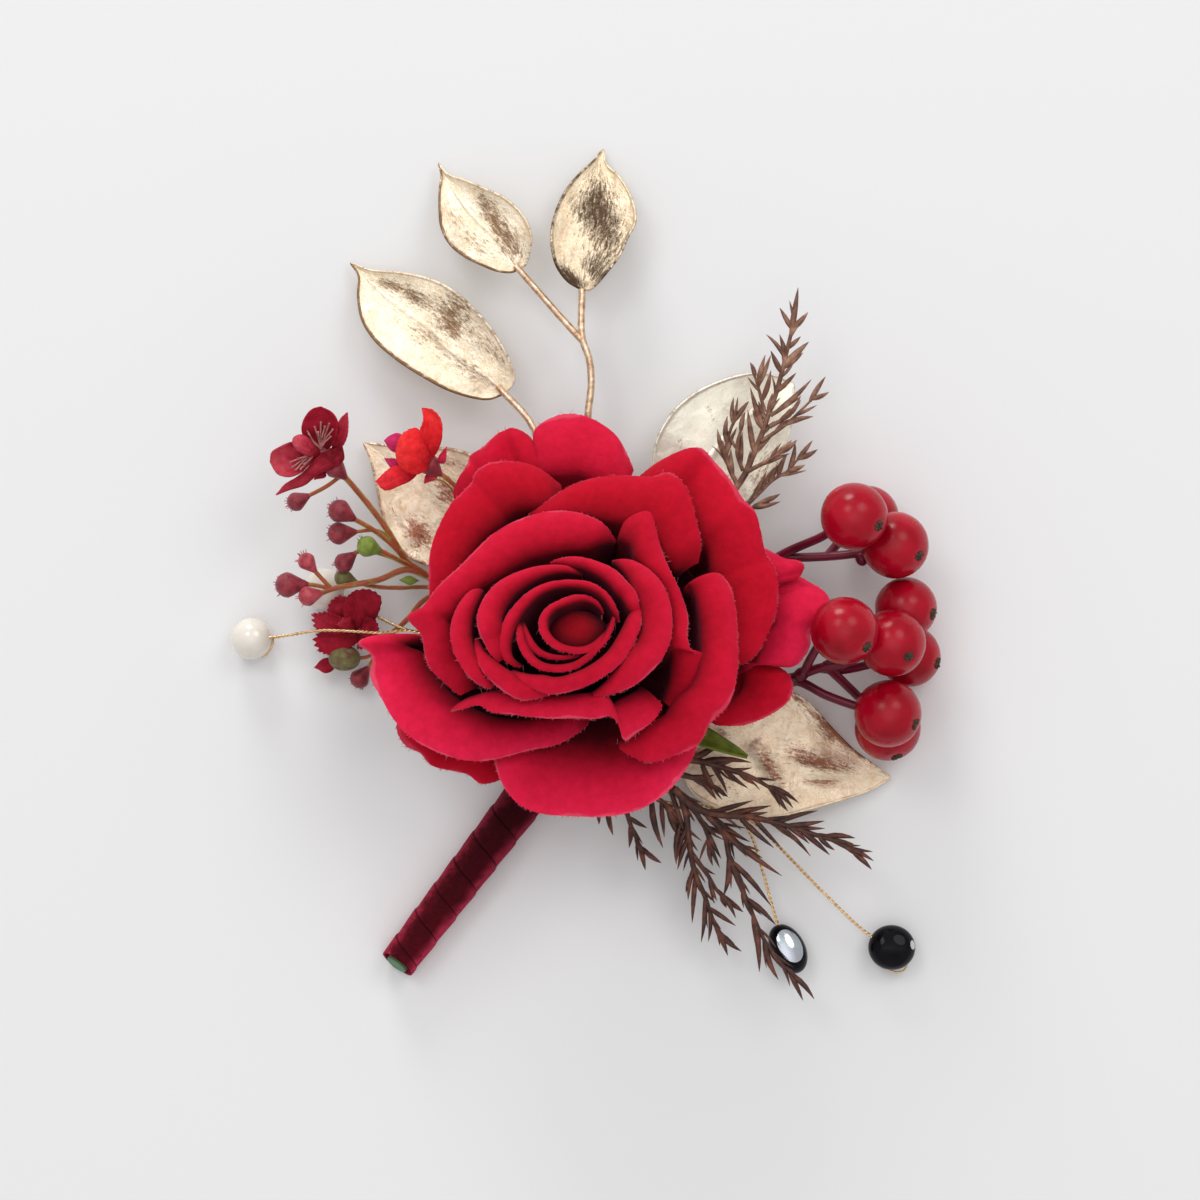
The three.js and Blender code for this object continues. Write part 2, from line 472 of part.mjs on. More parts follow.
function sprigs() {
  const upper = [...fromKnot(55, SLOT_LOW, TWIG_RADIUS), vec(9.5, 14, 4), vec(17, 26, 8), vec(23, 35.3, 10.5),
    vec(26.3, 42, 11.5), vec(28.3, 48, 11.5), vec(30.4, 55.6, 11.5), vec(31.4, 60.5, 11.5)];
  add("brown_sprig_upper", geometryOf(fuse(sprig(upper, { needles: 26, reach: 6.2, seed: 11, bare: 0.5 }))), TWIG_BROWN);

  const fork = vec(13.5, -7, 8);
  const root = [...fromKnot(-28, SLOT_HIGH, TWIG_RADIUS), fork];
  const twigs = [
    [[fork, vec(20.5, -10.6, 9), vec(27, -12, 9), vec(34, -14.6, 9), vec(40, -17, 9)], { needles: 14, reach: 5.5, seed: 21, bare: 0.25 }],
    [[fork, vec(18, -5.6, 8.8), vec(23.5, -5.6, 9), vec(29, -8, 9)], { needles: 8, reach: 4.5, seed: 22, bare: 0.2 }],
    [[fork, vec(16, -12, 7.5), vec(16.8, -18, 6), vec(18.2, -24, 5), vec(20.6, -29, 4.5)], { needles: 12, reach: 5.5, seed: 23, bare: 0.25 }],
    [[vec(17, -9, 8.5), vec(21.6, -16.2, 8), vec(24, -22.3, 7.5), vec(26.8, -29, 7.8), vec(31, -35, 8)], { needles: 12, reach: 5, seed: 24, bare: 0.15 }],
    [[fork, vec(10.5, -10.5, 7.5), vec(8.8, -14, 7), vec(10, -17, 6.5)], { needles: 5, reach: 3.5, seed: 25, bare: 0.4 }],
  ];
  const bunch = twigs.flatMap(([points, habit]) => sprig(points, habit));
  add("brown_sprigs_lower", geometryOf(fuse([tube(root, TWIG_RADIUS, 4), ...bunch])), TWIG_BROWN);
}

// ---------------------------------------------------------------- small blossoms
const BLOSSOMS = {
  top: { centre: vec(-34.6, 39.4, 14.8), facing: vec(-0.35, 0.35, 1), reach: 6, petals: 5, cup: 0.35, seed: 31 },
  side: { centre: vec(-21.4, 39.2, 14), facing: vec(-0.75, 0.55, 0.5), reach: 6.6, petals: 5, cup: 0.9, seed: 32 },
  low: { centre: vec(-31.4, 15.6, 4.3), facing: vec(-0.15, 0, 1), reach: 4.3, petals: 6, cup: 0.45, seed: 33 },
};
const EYE_RADIUS = 1.3; // the small ball in the middle of a blossom

// A blossom of rounded petals round a small ball, facing along its axis.
function blossom(name, { centre, facing, reach, petals, cup, seed }) {
  const draw = draws(seed);
  const pieces = [ball(vec(0, 0, 0.4), EYE_RADIUS, 6, 4)];
  for (let k = 0; k < petals; k++) {
    const turn = (k / petals) * 2 * Math.PI + draw(-0.1, 0.1);
    const long = reach * draw(0.9, 1.08);
    const petalCup = cup + draw(-0.15, 0.15);
    pieces.push(
      blade(2, 2, BLOSSOM_THICK, (u, v) => {
        const halfWidth = 0.45 + (long * 0.38 - 0.45) * Math.sin(Math.PI * Math.min(0.86, 0.1 + 0.8 * v));
        const distance = 0.5 + (long - 0.5) * v;
        const side = 2 * u - 1;
        const height = petalCup * distance * Math.sin(0.5 + 1.4 * v) * 0.8 + 0.12 * halfWidth * side * side;
        return vec(distance, halfWidth * side, height).applyAxisAngle(vec(0, 0, 1), turn);
      }),
    );
  }
  add(name, leaned(geometryOf(fuse(pieces)), centre, facing), BLOSSOM_RED);
}

// The last two points of the stalk that carries a blossom from below.
const carrying = ({ centre, facing }) =>
  [2.2, EYE_RADIUS - 0.4 + GAP].map((below) => centre.clone().addScaledVector(facing.clone().normalize(), -below));

function fillerSpray() {
  const fork = vec(-20.7, 22.3, 8);
  const knee = vec(-25.5, 26.5, 10);
  const lowFork = vec(-34.9, 20.8, 9);
  const main = [...fromKnot(148, SLOT_HIGH, SPRAY_STEM), vec(-13, 14, 7.2), fork, knee, vec(-28.8, 31.5, 11.5),
    vec(-32.3, 36.6, 12), ...carrying(BLOSSOMS.top)];
  const stalks = [
    [vec(-30.8, 34.5, 11.9), vec(-35.5, 34.6, 12.2), vec(-39.3, 33, 12)],
    [vec(-26.3, 27.3, 10.4), vec(-28, 28.6, 11.5), vec(-32.5, 31.7, 13.5)],
    [vec(-27.4, 28.3, 11.2), vec(-30, 28.4, 11), vec(-33.1, 28.6, 11)],
    [vec(-23, 24, 8.8), vec(-26.5, 25.8, 11.5), vec(-29.2, 26.8, 12.8)],
    [fork, vec(-28, 22.4, 8.6), lowFork, vec(-38, 20, 8.8)],
    [lowFork, vec(-37.2, 21.4, 9), vec(-40.8, 21.3, 8.8)],
    [lowFork, vec(-36.3, 22.8, 9.3), vec(-37.8, 24.6, 9.5)],
    [vec(-28, 22.4, 8.6), vec(-30.5, 23.6, 9), vec(-32.4, 24.7, 9.4)],
    [fork, vec(-18.5, 28.5, 10.5), vec(-17.4, 33, 11.5), ...carrying(BLOSSOMS.side)],
    [vec(-17, 18.3, 7.6), vec(-21.5, 16.8, 5.4), vec(-27, 15, 2.6), BLOSSOMS.low.centre.clone().setZ(2.6)],
    [vec(-25, 15.6, 3.6), vec(-28, 11, 2.8), vec(-31.5, 8.2, 2.6)],
  ];
  const buds = [
    [-39.3, 33, 12, 1.5], [-32.8, 31.9, 13.6, 2], [-33.4, 28.7, 11, 1.8], [-29.4, 26.9, 12.9, 1.6], [-38.4, 19.8, 8.8, 1.6],
    [-41, 21.3, 8.8, 2], [-38, 24.8, 9.6, 1.5], [-32.8, 24.8, 9.4, 1.5], [-32, 8, 2.6, 1.6],
  ];
  const pieces = [tube(main, SPRAY_STEM)];
  for (const points of stalks) pieces.push(tube(points, SPRAY_STALK, 4, points.length));
  for (const [x, y, z, radius] of buds) pieces.push(ball(vec(x, y, z), radius, 6, 5));
  add("filler_stems", geometryOf(fuse(pieces)), SPRAY_OLIVE);
  for (const [place, habit] of Object.entries(BLOSSOMS)) blossom(`filler_blossom_${place}`, habit);
}

// ---------------------------------------------------------------- pearls and beads
// A bead on its wire: the wire runs from the knot into a blind hole in the bead.
function threaded(names, bead, centre, route, finishOfBead) {
  const beforeLast = route[route.length - 1];
  const inward = centre.clone().sub(beforeLast).normalize();
  const end = centre.clone().addScaledVector(inward, -HOLE_END);
  add(names.wire, geometryOf(solid(tube([...route, end], WIRE_RADIUS))), WIRE_GOLD);
  const drill = new THREE.CylinderGeometry(WIRE_RADIUS + GAP, WIRE_RADIUS + GAP, 12, 6).rotateX(Math.PI / 2);
  const hole = leaned(drill.translate(0, 0, 6 + HOLE_END - GAP), centre, inward.clone().negate());
  add(names.bead, geometryOf(solid(bead).subtract(solid(hole))), finishOfBead);
}

function pearlsAndBeads() {
  const outer = vec(-46.2, 13.6, PEARL_RADIUS);
  threaded({ wire: "pearl_wire_outer", bead: "pearl_outer" }, ball(outer, PEARL_RADIUS, 10, 7), outer,
    [...fromKnot(162, SLOT_LOW, WIRE_RADIUS), vec(-13, 7.4, 4.5), vec(-20, 12.4, 7.5), vec(-28.1, 14.3, 9),
      vec(-35, 14.8, 9), vec(-39.5, 14.2, 7), vec(-42.2, 13.8, 5.2)], PEARL_WHITE);
  const inner = vec(-35.8, 22.2, PEARL_RADIUS);
  threaded({ wire: "pearl_wire_inner", bead: "pearl_inner" }, ball(inner, PEARL_RADIUS, 10, 7), inner,
    [...fromKnot(143, SLOT_LOW, WIRE_RADIUS), vec(-9, 8.4, 3.5), vec(-18, 14.6, 6), vec(-24.5, 16.4, 7.8),
      vec(-28.5, 18.4, 8.2), vec(-31.8, 20.4, 6.8)], PEARL_WHITE);

  const oval = (centre, stretch, turn) =>
    new THREE.SphereGeometry(1, 8, 6).scale(stretch.x, stretch.y, stretch.z).rotateZ(rad(turn))
      .translate(centre.x, centre.y, centre.z);
  const left = vec(30.7, -30.9, 2.6);
  threaded({ wire: "bead_wire_left", bead: "bead_left" }, oval(left, vec(2.5, 3.6, 2.6), -15), left,
    [...fromKnot(-62, SLOT_LOW, WIRE_RADIUS), vec(8.5, -8.6, 2), vec(18, -11.4, 2.6), vec(25.2, -13.9, 3),
      vec(27.2, -19.5, 3.4), vec(29.4, -26.6, 3)], BEAD_BLACK);
  const right = vec(45.6, -30.7, 2.6);
  threaded({ wire: "bead_wire_right", bead: "bead_right" }, oval(right, vec(3.3, 3.3, 2.6), 0), right,
    [...fromKnot(-38, SLOT_LOW, WIRE_RADIUS), vec(14, -8.4, 2.3), vec(22, -10.9, 2.8), vec(28.1, -14.9, 3.6),
      vec(36, -22.8, 4), vec(42, -28, 3.4)], BEAD_BLACK);
}

goldLeaves();
const cupFoot = rose();
berries();
sprigs();
fillerSpray();
pearlsAndBeads();
stemAndKnot(cupFoot);

export default boutonniere;
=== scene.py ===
import math
import random

import bmesh
import bpy
from mathutils import Matrix, Vector, noise


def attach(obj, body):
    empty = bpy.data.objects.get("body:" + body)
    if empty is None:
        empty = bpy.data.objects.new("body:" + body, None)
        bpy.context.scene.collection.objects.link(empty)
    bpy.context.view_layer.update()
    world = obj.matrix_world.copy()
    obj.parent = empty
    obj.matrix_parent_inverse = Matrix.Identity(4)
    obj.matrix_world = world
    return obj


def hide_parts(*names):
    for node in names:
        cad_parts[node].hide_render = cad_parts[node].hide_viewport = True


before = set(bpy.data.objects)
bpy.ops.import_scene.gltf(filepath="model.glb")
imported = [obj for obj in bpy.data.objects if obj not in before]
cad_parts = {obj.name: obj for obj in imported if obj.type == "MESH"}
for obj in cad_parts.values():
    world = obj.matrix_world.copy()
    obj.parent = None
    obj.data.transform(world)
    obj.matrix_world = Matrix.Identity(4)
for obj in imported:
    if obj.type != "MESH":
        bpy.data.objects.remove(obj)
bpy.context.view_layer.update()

# A boutonniere that lies on its back: a silk rose, gold foil leaves, glossy berries, brown sprigs, a spray
# of small blossoms and buds, pearls and black beads on twisted wire, and a velvet ribbon round the stem.
# Shapes are worked out in millimetres in the part's own frame, and finished() makes them metres. The
# camera, the lamps and the floor are placed in metres.
MM = 0.001
TAU = 2 * math.pi
UP = Vector((0, 0, 1))

EYE = (0.003744, 0.019152, 0.7)  # the camera looks straight down from here
FOCAL_LENGTH = 145.83
SENSOR_WIDTH = 36
FLOOR_HALF_WIDTH = 3.0
FLOOR_DROP = 0.00005  # how far the floor lies under the part, so that their faces don't meet
FLOOR_RUN = (-66, 104)  # mm along Y over which the floor's shade changes
# (height, light), from 0 at the horizon to 1 overhead
SKY = ((0.0, 0.44), (0.5, 0.54), (0.8, 0.60), (0.93, 1.0), (1.0, 1.55))
SKY_BLUE = 1.01
LAMP_DISTANCE = 1.05
LAMP_AIM = Vector((0.0, 0.02, 0.01))
LAMPS = {
    # direction, width, power
    "window_left": ((-0.36, 0.46, 0.84), 0.40, 1.45),
    "window_right": ((0.45, 0.50, 0.80), 0.50, 1.7),
    "window_far": ((-0.22, 0.93, 0.30), 0.38, 3.9),
}

ROSE_BASE = Vector((1.8, 7.8, 13.0))
ROSE_TILT = math.radians(22)
CORE_RADIUS = 4.0
WALL_SHARE = 0.3  # of a petal's length from foot to rim: what stands up to the crest of its lip
CLOTH_THICKNESS = 0.20
CLOTH_COLUMN = 0.32  # width of one column of a petal's grid
CLOTH_ROWS = 28
THREADS_PER_MM = 4.0  # of a petal's rim
CALYX_TOP = -1.1  # heights along the rose's axis
CUP_DEPTH = 3.2
SEPAL_THICKNESS = 0.35
FOIL_THICKNESS = 0.3
SPRIG_STEPS = 40  # points along one twig

STEM_ANGLE = math.radians(52.5)
STEM_LENGTH = 42.3
STEM_RADIUS = 1.62
WRAP_CENTRE = 2.74  # the height of the wrap's middle
WRAP_HALF = 2.36  # its half height, and its half width at the cut end
WRAP_FLARE = 0.016  # how much wider each mm is towards the knot
WRAP_PITCH = 4.6
WRAP_OVERLAP = 1.10  # width of the ribbon in steps of its pitch
WRAP_TURNS = 9.7
RIBBON_THICKNESS = 0.25
WIRE_STRAND = 0.13
PEARL_RADIUS = 3.0
KNOT_RADIUS = 5.4
KNOT_HEIGHT = 4.4
KNOT_EXIT = (3.7, 5.4, 7.4)  # how far from the knot's middle a stem's first points lie

noise.seed_set(5)  # noise_vector() would otherwise give the petals another sway each run


# ---------------------------------------------------------------- shader helpers
def stops(ramp, colours):
    band = ramp.color_ramp
    while len(band.elements) > len(colours):
        band.elements.remove(band.elements[-1])
    while len(band.elements) < len(colours):
        band.elements.new(1.0)
    for element, (place, colour) in zip(band.elements, colours):
        element.position = place
        element.color = (*colour, 1)


class Shade:
    """One Principled material and its nodes. Socket names are given with _ for each space."""

    def __init__(self, name, **inputs):
        self.made = bpy.data.materials.new(name)
        self.made.use_nodes = True
        self.tree = self.made.node_tree
        self.shader = self.tree.nodes["Principled BSDF"]
        self.set(**inputs)

    def node(self, kind, inputs=None, **settings):
        made = self.tree.nodes.new("ShaderNode" + kind)
        for key, value in settings.items():
            setattr(made, key, value)
        for key, value in (inputs or {}).items():
            self.feed(made.inputs[key], value)
        return made

    def feed(self, socket, value):
        if isinstance(value, bpy.types.NodeSocket):
            self.tree.links.new(value, socket)
        else:
            socket.default_value = value

    def set(self, **inputs):
        for key, value in inputs.items():
            self.feed(self.shader.inputs[key.replace("_", " ")], value)

    def coords(self):
        """Object coordinates in millimetres."""
        source = self.node("TexCoord").outputs["Object"]
        return self.node("Mapping", {"Vector": source, "Scale": (1 / MM, 1 / MM, 1 / MM)}).outputs[0]

    def uv(self, stretch=(1, 1, 1)):
        """UV coordinates, which are in millimetres too."""
        source = self.node("TexCoord").outputs["UV"]
        return self.node("Mapping", {"Vector": source, "Scale": stretch}).outputs[0]

    def split(self, where, axis):
        return self.node("SeparateXYZ", {0: where}).outputs[axis]

    def attribute(self, name):
        return self.node("Attribute", attribute_name=name).outputs["Fac"]

    def noise(self, where, scale, detail=3.0, rough=0.55, distortion=0.0):
        return self.node(
            "TexNoise",
            {"Vector": where, "Scale": scale, "Detail": detail, "Roughness": rough,
             "Distortion": distortion},
        ).outputs[0]

    def cloud(self, scale, detail=3.0, rough=0.55, distortion=0.0):
        """Noise through the whole object, scale in waves per mm."""
        return self.noise(self.coords(), scale, detail, rough, distortion)

    def spread_of(self, value, to_low, to_high):
        """The usual range of a noise, 0.3 to 0.7, drawn out to another."""
        return self.span(value, 0.3, 0.7, to_low, to_high)

    def ramp(self, value, colours):
        made = self.node("ValToRGB", {0: value})
        stops(made, colours)
        return made.outputs[0]

    def math(self, operation, a, b=0.0):
        return self.node("Math", {0: a, 1: b}, operation=operation).outputs[0]

    def span(self, value, low, high, to_low=0.0, to_high=1.0):
        return self.node("MapRange", {0: value, 1: low, 2: high, 3: to_low, 4: to_high}).outputs[0]

    def mix(self, factor, a, b, blend="MIX"):
        made = self.node("Mix", data_type="RGBA", blend_type=blend)
        self.feed(made.inputs[0], factor)
        self.feed(made.inputs[6], a if isinstance(a, bpy.types.NodeSocket) else (*a, 1))
        self.feed(made.inputs[7], b if isinstance(b, bpy.types.NodeSocket) else (*b, 1))
        return made.outputs[2]

    def bump(self, height, depth, strength=1.0, under=None):
        """Bumps as deep as depth in mm, over those of another bump."""
        inputs = {"Height": height, "Distance": depth * MM, "Strength": strength}
        if under is not None:
            inputs["Normal"] = under
        return self.node("Bump", inputs).outputs[0]


def mottled(name, grain, dark, light, relief=None, ends=(0.3, 0.7), **inputs):
    """Clouds of two shades, which are pure at ends. grain is (scale, detail), and relief, for bumps,
    (scale, detail, depth, strength)."""
    s = Shade(name, **inputs)
    s.set(Base_Color=s.ramp(s.cloud(*grain), [(ends[0], dark), (ends[1], light)]))
    if relief:
        scale, detail, depth, strength = relief
        s.set(Normal=s.bump(s.cloud(scale, detail), depth, strength))
    return s


# ---------------------------------------------------------------- camera, light and floor
def camera():
    data = bpy.data.cameras.new("camera")
    data.lens = FOCAL_LENGTH
    data.sensor_width = SENSOR_WIDTH
    eye = bpy.data.objects.new("camera", data)
    eye.location = EYE
    bpy.context.collection.objects.link(eye)
    bpy.context.scene.camera = eye


def softbox(name, direction, width, power):
    """A round lamp that stands off in a direction and shines at the part."""
    data = bpy.data.lights.new(name, "AREA")
    data.shape = "DISK"
    data.size = width
    data.energy = power
    lamp = bpy.data.objects.new(name, data)
    lamp.location = Vector(direction).normalized() * LAMP_DISTANCE + LAMP_AIM
    lamp.rotation_mode = "QUATERNION"
    lamp.rotation_quaternion = Vector(direction).to_track_quat("Z", "Y")
    bpy.context.collection.objects.link(lamp)


def sky():
    world = bpy.data.worlds.new("studio")
    bpy.context.scene.world = world
    world.use_nodes = True
    tree = world.node_tree
    way = tree.nodes.new("ShaderNodeTexCoord")
    split = tree.nodes.new("ShaderNodeSeparateXYZ")
    ramp = tree.nodes.new("ShaderNodeValToRGB")
    tree.links.new(way.outputs["Generated"], split.inputs[0])
    tree.links.new(split.outputs["Z"], ramp.inputs[0])
    tree.links.new(ramp.outputs[0], tree.nodes["Background"].inputs["Color"])
    stops(ramp, [(height, (light, light, light * SKY_BLUE)) for height, light in SKY])


def pale_floor():
    bm = bmesh.new()
    bmesh.ops.create_grid(bm, x_segments=1, y_segments=1, size=FLOOR_HALF_WIDTH)
    mesh = bpy.data.meshes.new("floor")
    bm.to_mesh(mesh)
    bm.free()
    s = Shade("floor_pale", Roughness=0.9, Specular_IOR_Level=0.2)
    # painted shade: the floor's colour runs a little darker towards +Y, where the lamps stand, to temper
    # their brighter light there
    onwards = s.span(s.split(s.coords(), 1), *FLOOR_RUN)
    s.set(Base_Color=s.ramp(onwards, [(0.0, (0.836, 0.833, 0.834)), (1.0, (0.818, 0.818, 0.820))]))
    mesh.materials.append(s.made)
    floor = bpy.data.objects.new("floor", mesh)
    floor.location = (0, 0, -FLOOR_DROP)
    bpy.context.collection.objects.link(floor)


def studio():
    sky()
    for name, lamp in LAMPS.items():
        softbox(name, *lamp)
    pale_floor()


# ---------------------------------------------------------------- materials
def rose_fabric():
    """Crimson cloth with painted shade: dark where the reach attribute is low, at the petals' feet, deep in
    the bloom and at the petals' ends, and brightest on the lips. The flush attribute mixes in a brighter,
    pinker colour.
    """
    s = Shade(
        "rose_fabric", Roughness=0.85, Specular_IOR_Level=0.12, Sheen_Weight=0.08, Sheen_Roughness=0.5,
        Sheen_Tint=(1.0, 0.20, 0.36, 1),
    )
    place = s.math("ADD", s.attribute("reach"), s.spread_of(s.cloud(0.16), -0.05, 0.05))
    # painted shade: near black at the petals' feet and in the bloom's depths, brightest on the lips
    deep = s.ramp(place, [
        (0.0, (0.020, 0.0003, 0.002)), (0.28, (0.06, 0.0004, 0.003)), (0.44, (0.23, 0.0006, 0.006)),
        (0.66, (0.43, 0.0012, 0.012)), (0.90, (0.56, 0.0025, 0.020)), (0.975, (0.57, 0.0045, 0.026)),
        (1.0, (0.68, 0.040, 0.085)),
    ])
    flushed = s.ramp(place, [
        (0.0, (0.020, 0.0003, 0.002)), (0.28, (0.08, 0.0006, 0.004)), (0.44, (0.36, 0.0025, 0.018)),
        (0.66, (0.66, 0.0075, 0.046)), (0.90, (0.84, 0.015, 0.072)), (0.975, (0.85, 0.020, 0.085)),
        (1.0, (0.88, 0.080, 0.15)),
    ])
    shaded_colour = s.mix(s.attribute("flush"), deep, flushed)
    mottle = s.ramp(s.cloud(0.8, 5.0, 0.6), [(0.3, (0.86, 0.80, 0.80)), (0.7, (1.04, 1.1, 1.1))])
    s.set(Base_Color=s.mix(1.0, shaded_colour, mottle, "MULTIPLY"))
    yarn = 0.36
    warp, weft = (s.math("SINE", s.math("MULTIPLY", s.split(s.uv(), axis), TAU / yarn)) for axis in (0, 1))
    weave = s.math("MULTIPLY", s.math("MULTIPLY", warp, weft), 0.3)
    fibre = s.noise(s.uv((2.6, 5.0, 1)), 1.0, 4.0, 0.7)
    fine = s.bump(s.math("ADD", weave, fibre), 0.06, 0.6)
    s.set(Normal=s.bump(s.cloud(0.30), 0.9, 0.4, fine))
    return s.made


def frayed_thread():
    dark, light = (0.52, 0.008, 0.035), (0.74, 0.09, 0.14)
    return mottled("frayed_thread", (1.0, 3.0), dark, light, Roughness=0.8, Sheen_Weight=0.3).made


def gold_foil(name, pale, bronze, crumple=1.0, metallic=0.55):
    """Champagne foil, softly crinkled. Its bronze marks are painted reflections of darker surroundings, with
    a finer bronze grain of specks and strokes.
    """
    s = Shade(name, Metallic=metallic)
    strokes = s.noise(s.uv((2.6, 0.9, 1)), 1.0, 5.0, 0.75, 0.35)
    specks = s.cloud(3.4, 4.0, 0.75)
    grain = s.math("ADD", s.math("MULTIPLY", strokes, 0.7), s.math("MULTIPLY", specks, 0.3))
    # painted reflections from the leaf's marks and edges, with the finer bronze grain laid over them
    reflections_and_grain = s.math("ADD", s.attribute("painted_reflection"), s.span(grain, 0.36, 0.64, -1.05, 0.36))
    warmer = tuple(p * (1 - (1 - w) * crumple) for p, w in zip(pale, (0.90, 0.84, 0.76)))
    lighter = tuple(1.05 * p for p in pale)
    clouds = s.ramp(s.cloud(0.40, 4.0, 0.6), [(0.32, warmer), (0.52, pale), (0.7, lighter)])
    middle = tuple(0.5 * p + 0.5 * b for p, b in zip(pale, bronze))
    bronze_marked = s.ramp(s.span(reflections_and_grain, 0.15, 1.0), [(0.0, middle), (1.0, bronze)])
    # dark lines along the wrinkles: painted crease shade
    wrinkle = s.math("ABSOLUTE", s.math("SUBTRACT", s.cloud(0.6, 4.0, 0.65, 0.4), 0.5))
    line = tuple(1 - (1 - shade) * crumple for shade in (0.86, 0.77, 0.66))
    crease_shaded = s.ramp(s.span(wrinkle, 0.0, 0.03), [(0.0, line), (1.0, (1, 1, 1))])
    s.set(Base_Color=s.mix(1.0, s.mix(s.span(reflections_and_grain, 0.0, 0.55), clouds, bronze_marked), crease_shaded, "MULTIPLY"))
    s.set(Roughness=s.spread_of(specks, 0.26, 0.42))
    crinkled = s.bump(wrinkle, 0.30 * crumple, 0.8, s.bump(grain, 0.14 * crumple, 0.8))
    s.set(Normal=s.bump(s.cloud(0.7, 3.0, 0.5), 0.20 * crumple, 0.6, crinkled))
    return s.made


def gold_stem():
    s = Shade("gold_stem", Metallic=1.0, Roughness=0.3)
    s.set(Base_Color=s.ramp(s.cloud(1.1, 4.0, 0.6), [
        (0.25, (0.26, 0.12, 0.06)), (0.45, (0.70, 0.47, 0.30)), (0.75, (0.97, 0.83, 0.66)),
    ]))
    s.set(Normal=s.bump(s.cloud(2.5), 0.12, 0.6))
    return s.made


def gold_wire():
    dark, light = (0.70, 0.42, 0.18), (0.92, 0.70, 0.42)
    return mottled("gold_wire", (0.9, 2.0), dark, light, Metallic=1.0, Roughness=0.24).made


def berry_gloss():
    s = Shade("berry_gloss", Specular_IOR_Level=0.24)
    skin = s.ramp(s.cloud(0.20, 3.0, 0.5), [
        (0.3, (0.28, 0.0010, 0.009)), (0.55, (0.40, 0.0018, 0.015)), (0.8, (0.48, 0.0035, 0.022)),
    ])
    flecks = s.span(s.cloud(1.6, 5.0, 0.75), 0.70, 0.82)
    s.set(Base_Color=s.mix(s.math("MULTIPLY", flecks, 0.5), skin, (0.62, 0.07, 0.09)))
    s.set(Roughness=s.spread_of(s.cloud(0.8, 4.0), 0.20, 0.28))
    s.set(Normal=s.bump(s.cloud(0.5), 0.08, 0.4))
    return s.made


def berry_star():
    dark, light = (0.007, 0.005, 0.003), (0.085, 0.060, 0.030)
    relief = (4.0, 3.0, 0.15, 0.8)
    return mottled("berry_star", (2.0, 3.0), dark, light, relief, (0.32, 0.68), Roughness=0.75).made


def berry_stalk():
    dark, light = (0.075, 0.002, 0.011), (0.19, 0.006, 0.028)
    return mottled(
        "berry_stalk", (0.25, 3.0), dark, light, (0.8, 3.0, 0.12, 0.5),
        Roughness=0.34, Specular_IOR_Level=0.30, Coat_Weight=0.06, Coat_Roughness=0.2,
    ).made


def twig_brown(name, dark, middle, light):
    s = Shade(name, Specular_IOR_Level=0.45)
    s.set(Base_Color=s.ramp(s.cloud(0.5, 4.0, 0.65), [(0.32, dark), (0.5, middle), (0.70, light)]))
    s.set(Roughness=s.spread_of(s.cloud(1.5), 0.38, 0.65))
    s.set(Normal=s.bump(s.cloud(2.2, 4.0, 0.7), 0.15, 0.7))
    return s.made


def spray_stem():
    """Rusty red on top, yellow-green on the flanks."""
    s = Shade("spray_stem", Roughness=0.45, Specular_IOR_Level=0.4)
    upward = s.math("ABSOLUTE", s.split(s.node("NewGeometry").outputs["Normal"], 2))
    top = s.math("ADD", upward, s.spread_of(s.cloud(0.7, 4.0), -0.35, 0.35))
    rusty = s.ramp(s.cloud(0.35), [(0.3, (0.23, 0.034, 0.014)), (0.7, (0.44, 0.085, 0.032))])
    s.set(Base_Color=s.mix(s.span(top, 0.32, 0.84), (0.40, 0.33, 0.075), rusty))
    s.set(Normal=s.bump(s.cloud(1.5), 0.15, 0.5))
    return s.made


def bud_skin(name, dark, light):
    return mottled(
        name, (0.9, 4.0), dark, light, (2.0, 4.0, 0.12, 0.6), Roughness=0.5, Specular_IOR_Level=0.4,
        Sheen_Weight=0.15,
    ).made


def blossom_fabric(name, plain, flushed):
    """Thin petal cloth. The flush attribute mixes the plain and the flushed (deep, middle, lip) colours."""
    s = Shade(name, Roughness=0.70, Specular_IOR_Level=0.12)
    place = s.math("ADD", s.attribute("reach"), s.spread_of(s.cloud(0.7, 4.0), -0.22, 0.22))
    dyes = [s.ramp(place, list(zip((0.1, 0.5, 1.0), colours))) for colours in (plain, flushed)]
    speck = s.ramp(s.cloud(1.6, 5.0, 0.7), [(0.3, (0.80, 0.76, 0.76)), (0.7, (1.12, 1.25, 1.25))])
    s.set(Base_Color=s.mix(1.0, s.mix(s.attribute("flush"), *dyes), speck, "MULTIPLY"))
    veins = s.noise(s.uv((3.0, 0.4, 1)), 1.0)
    s.set(Normal=s.bump(s.cloud(3.0), 0.10, 0.5, s.bump(veins, 0.14, 0.7)))
    return s.made


def green_plastic():
    dark, light = (0.070, 0.110, 0.007), (0.19, 0.24, 0.018)
    s = mottled("green_plastic", (0.6, 4.0), dark, light, Roughness=0.5, Specular_IOR_Level=0.3)
    s.set(Normal=s.bump(s.noise(s.uv((2.0, 0.3, 1)), 1.0), 0.25, 0.7))
    return s.made


def stem_green():
    dark, light = (0.030, 0.075, 0.028), (0.075, 0.15, 0.06)
    return mottled("stem_green", (0.5, 3.0), dark, light, (1.5, 3.0, 0.15, 0.5), Roughness=0.55).made


def cut_stem_green():
    dark, light = (0.075, 0.19, 0.085), (0.13, 0.28, 0.14)
    return mottled("cut_stem_green", (0.8, 3.0), dark, light, Roughness=0.6).made


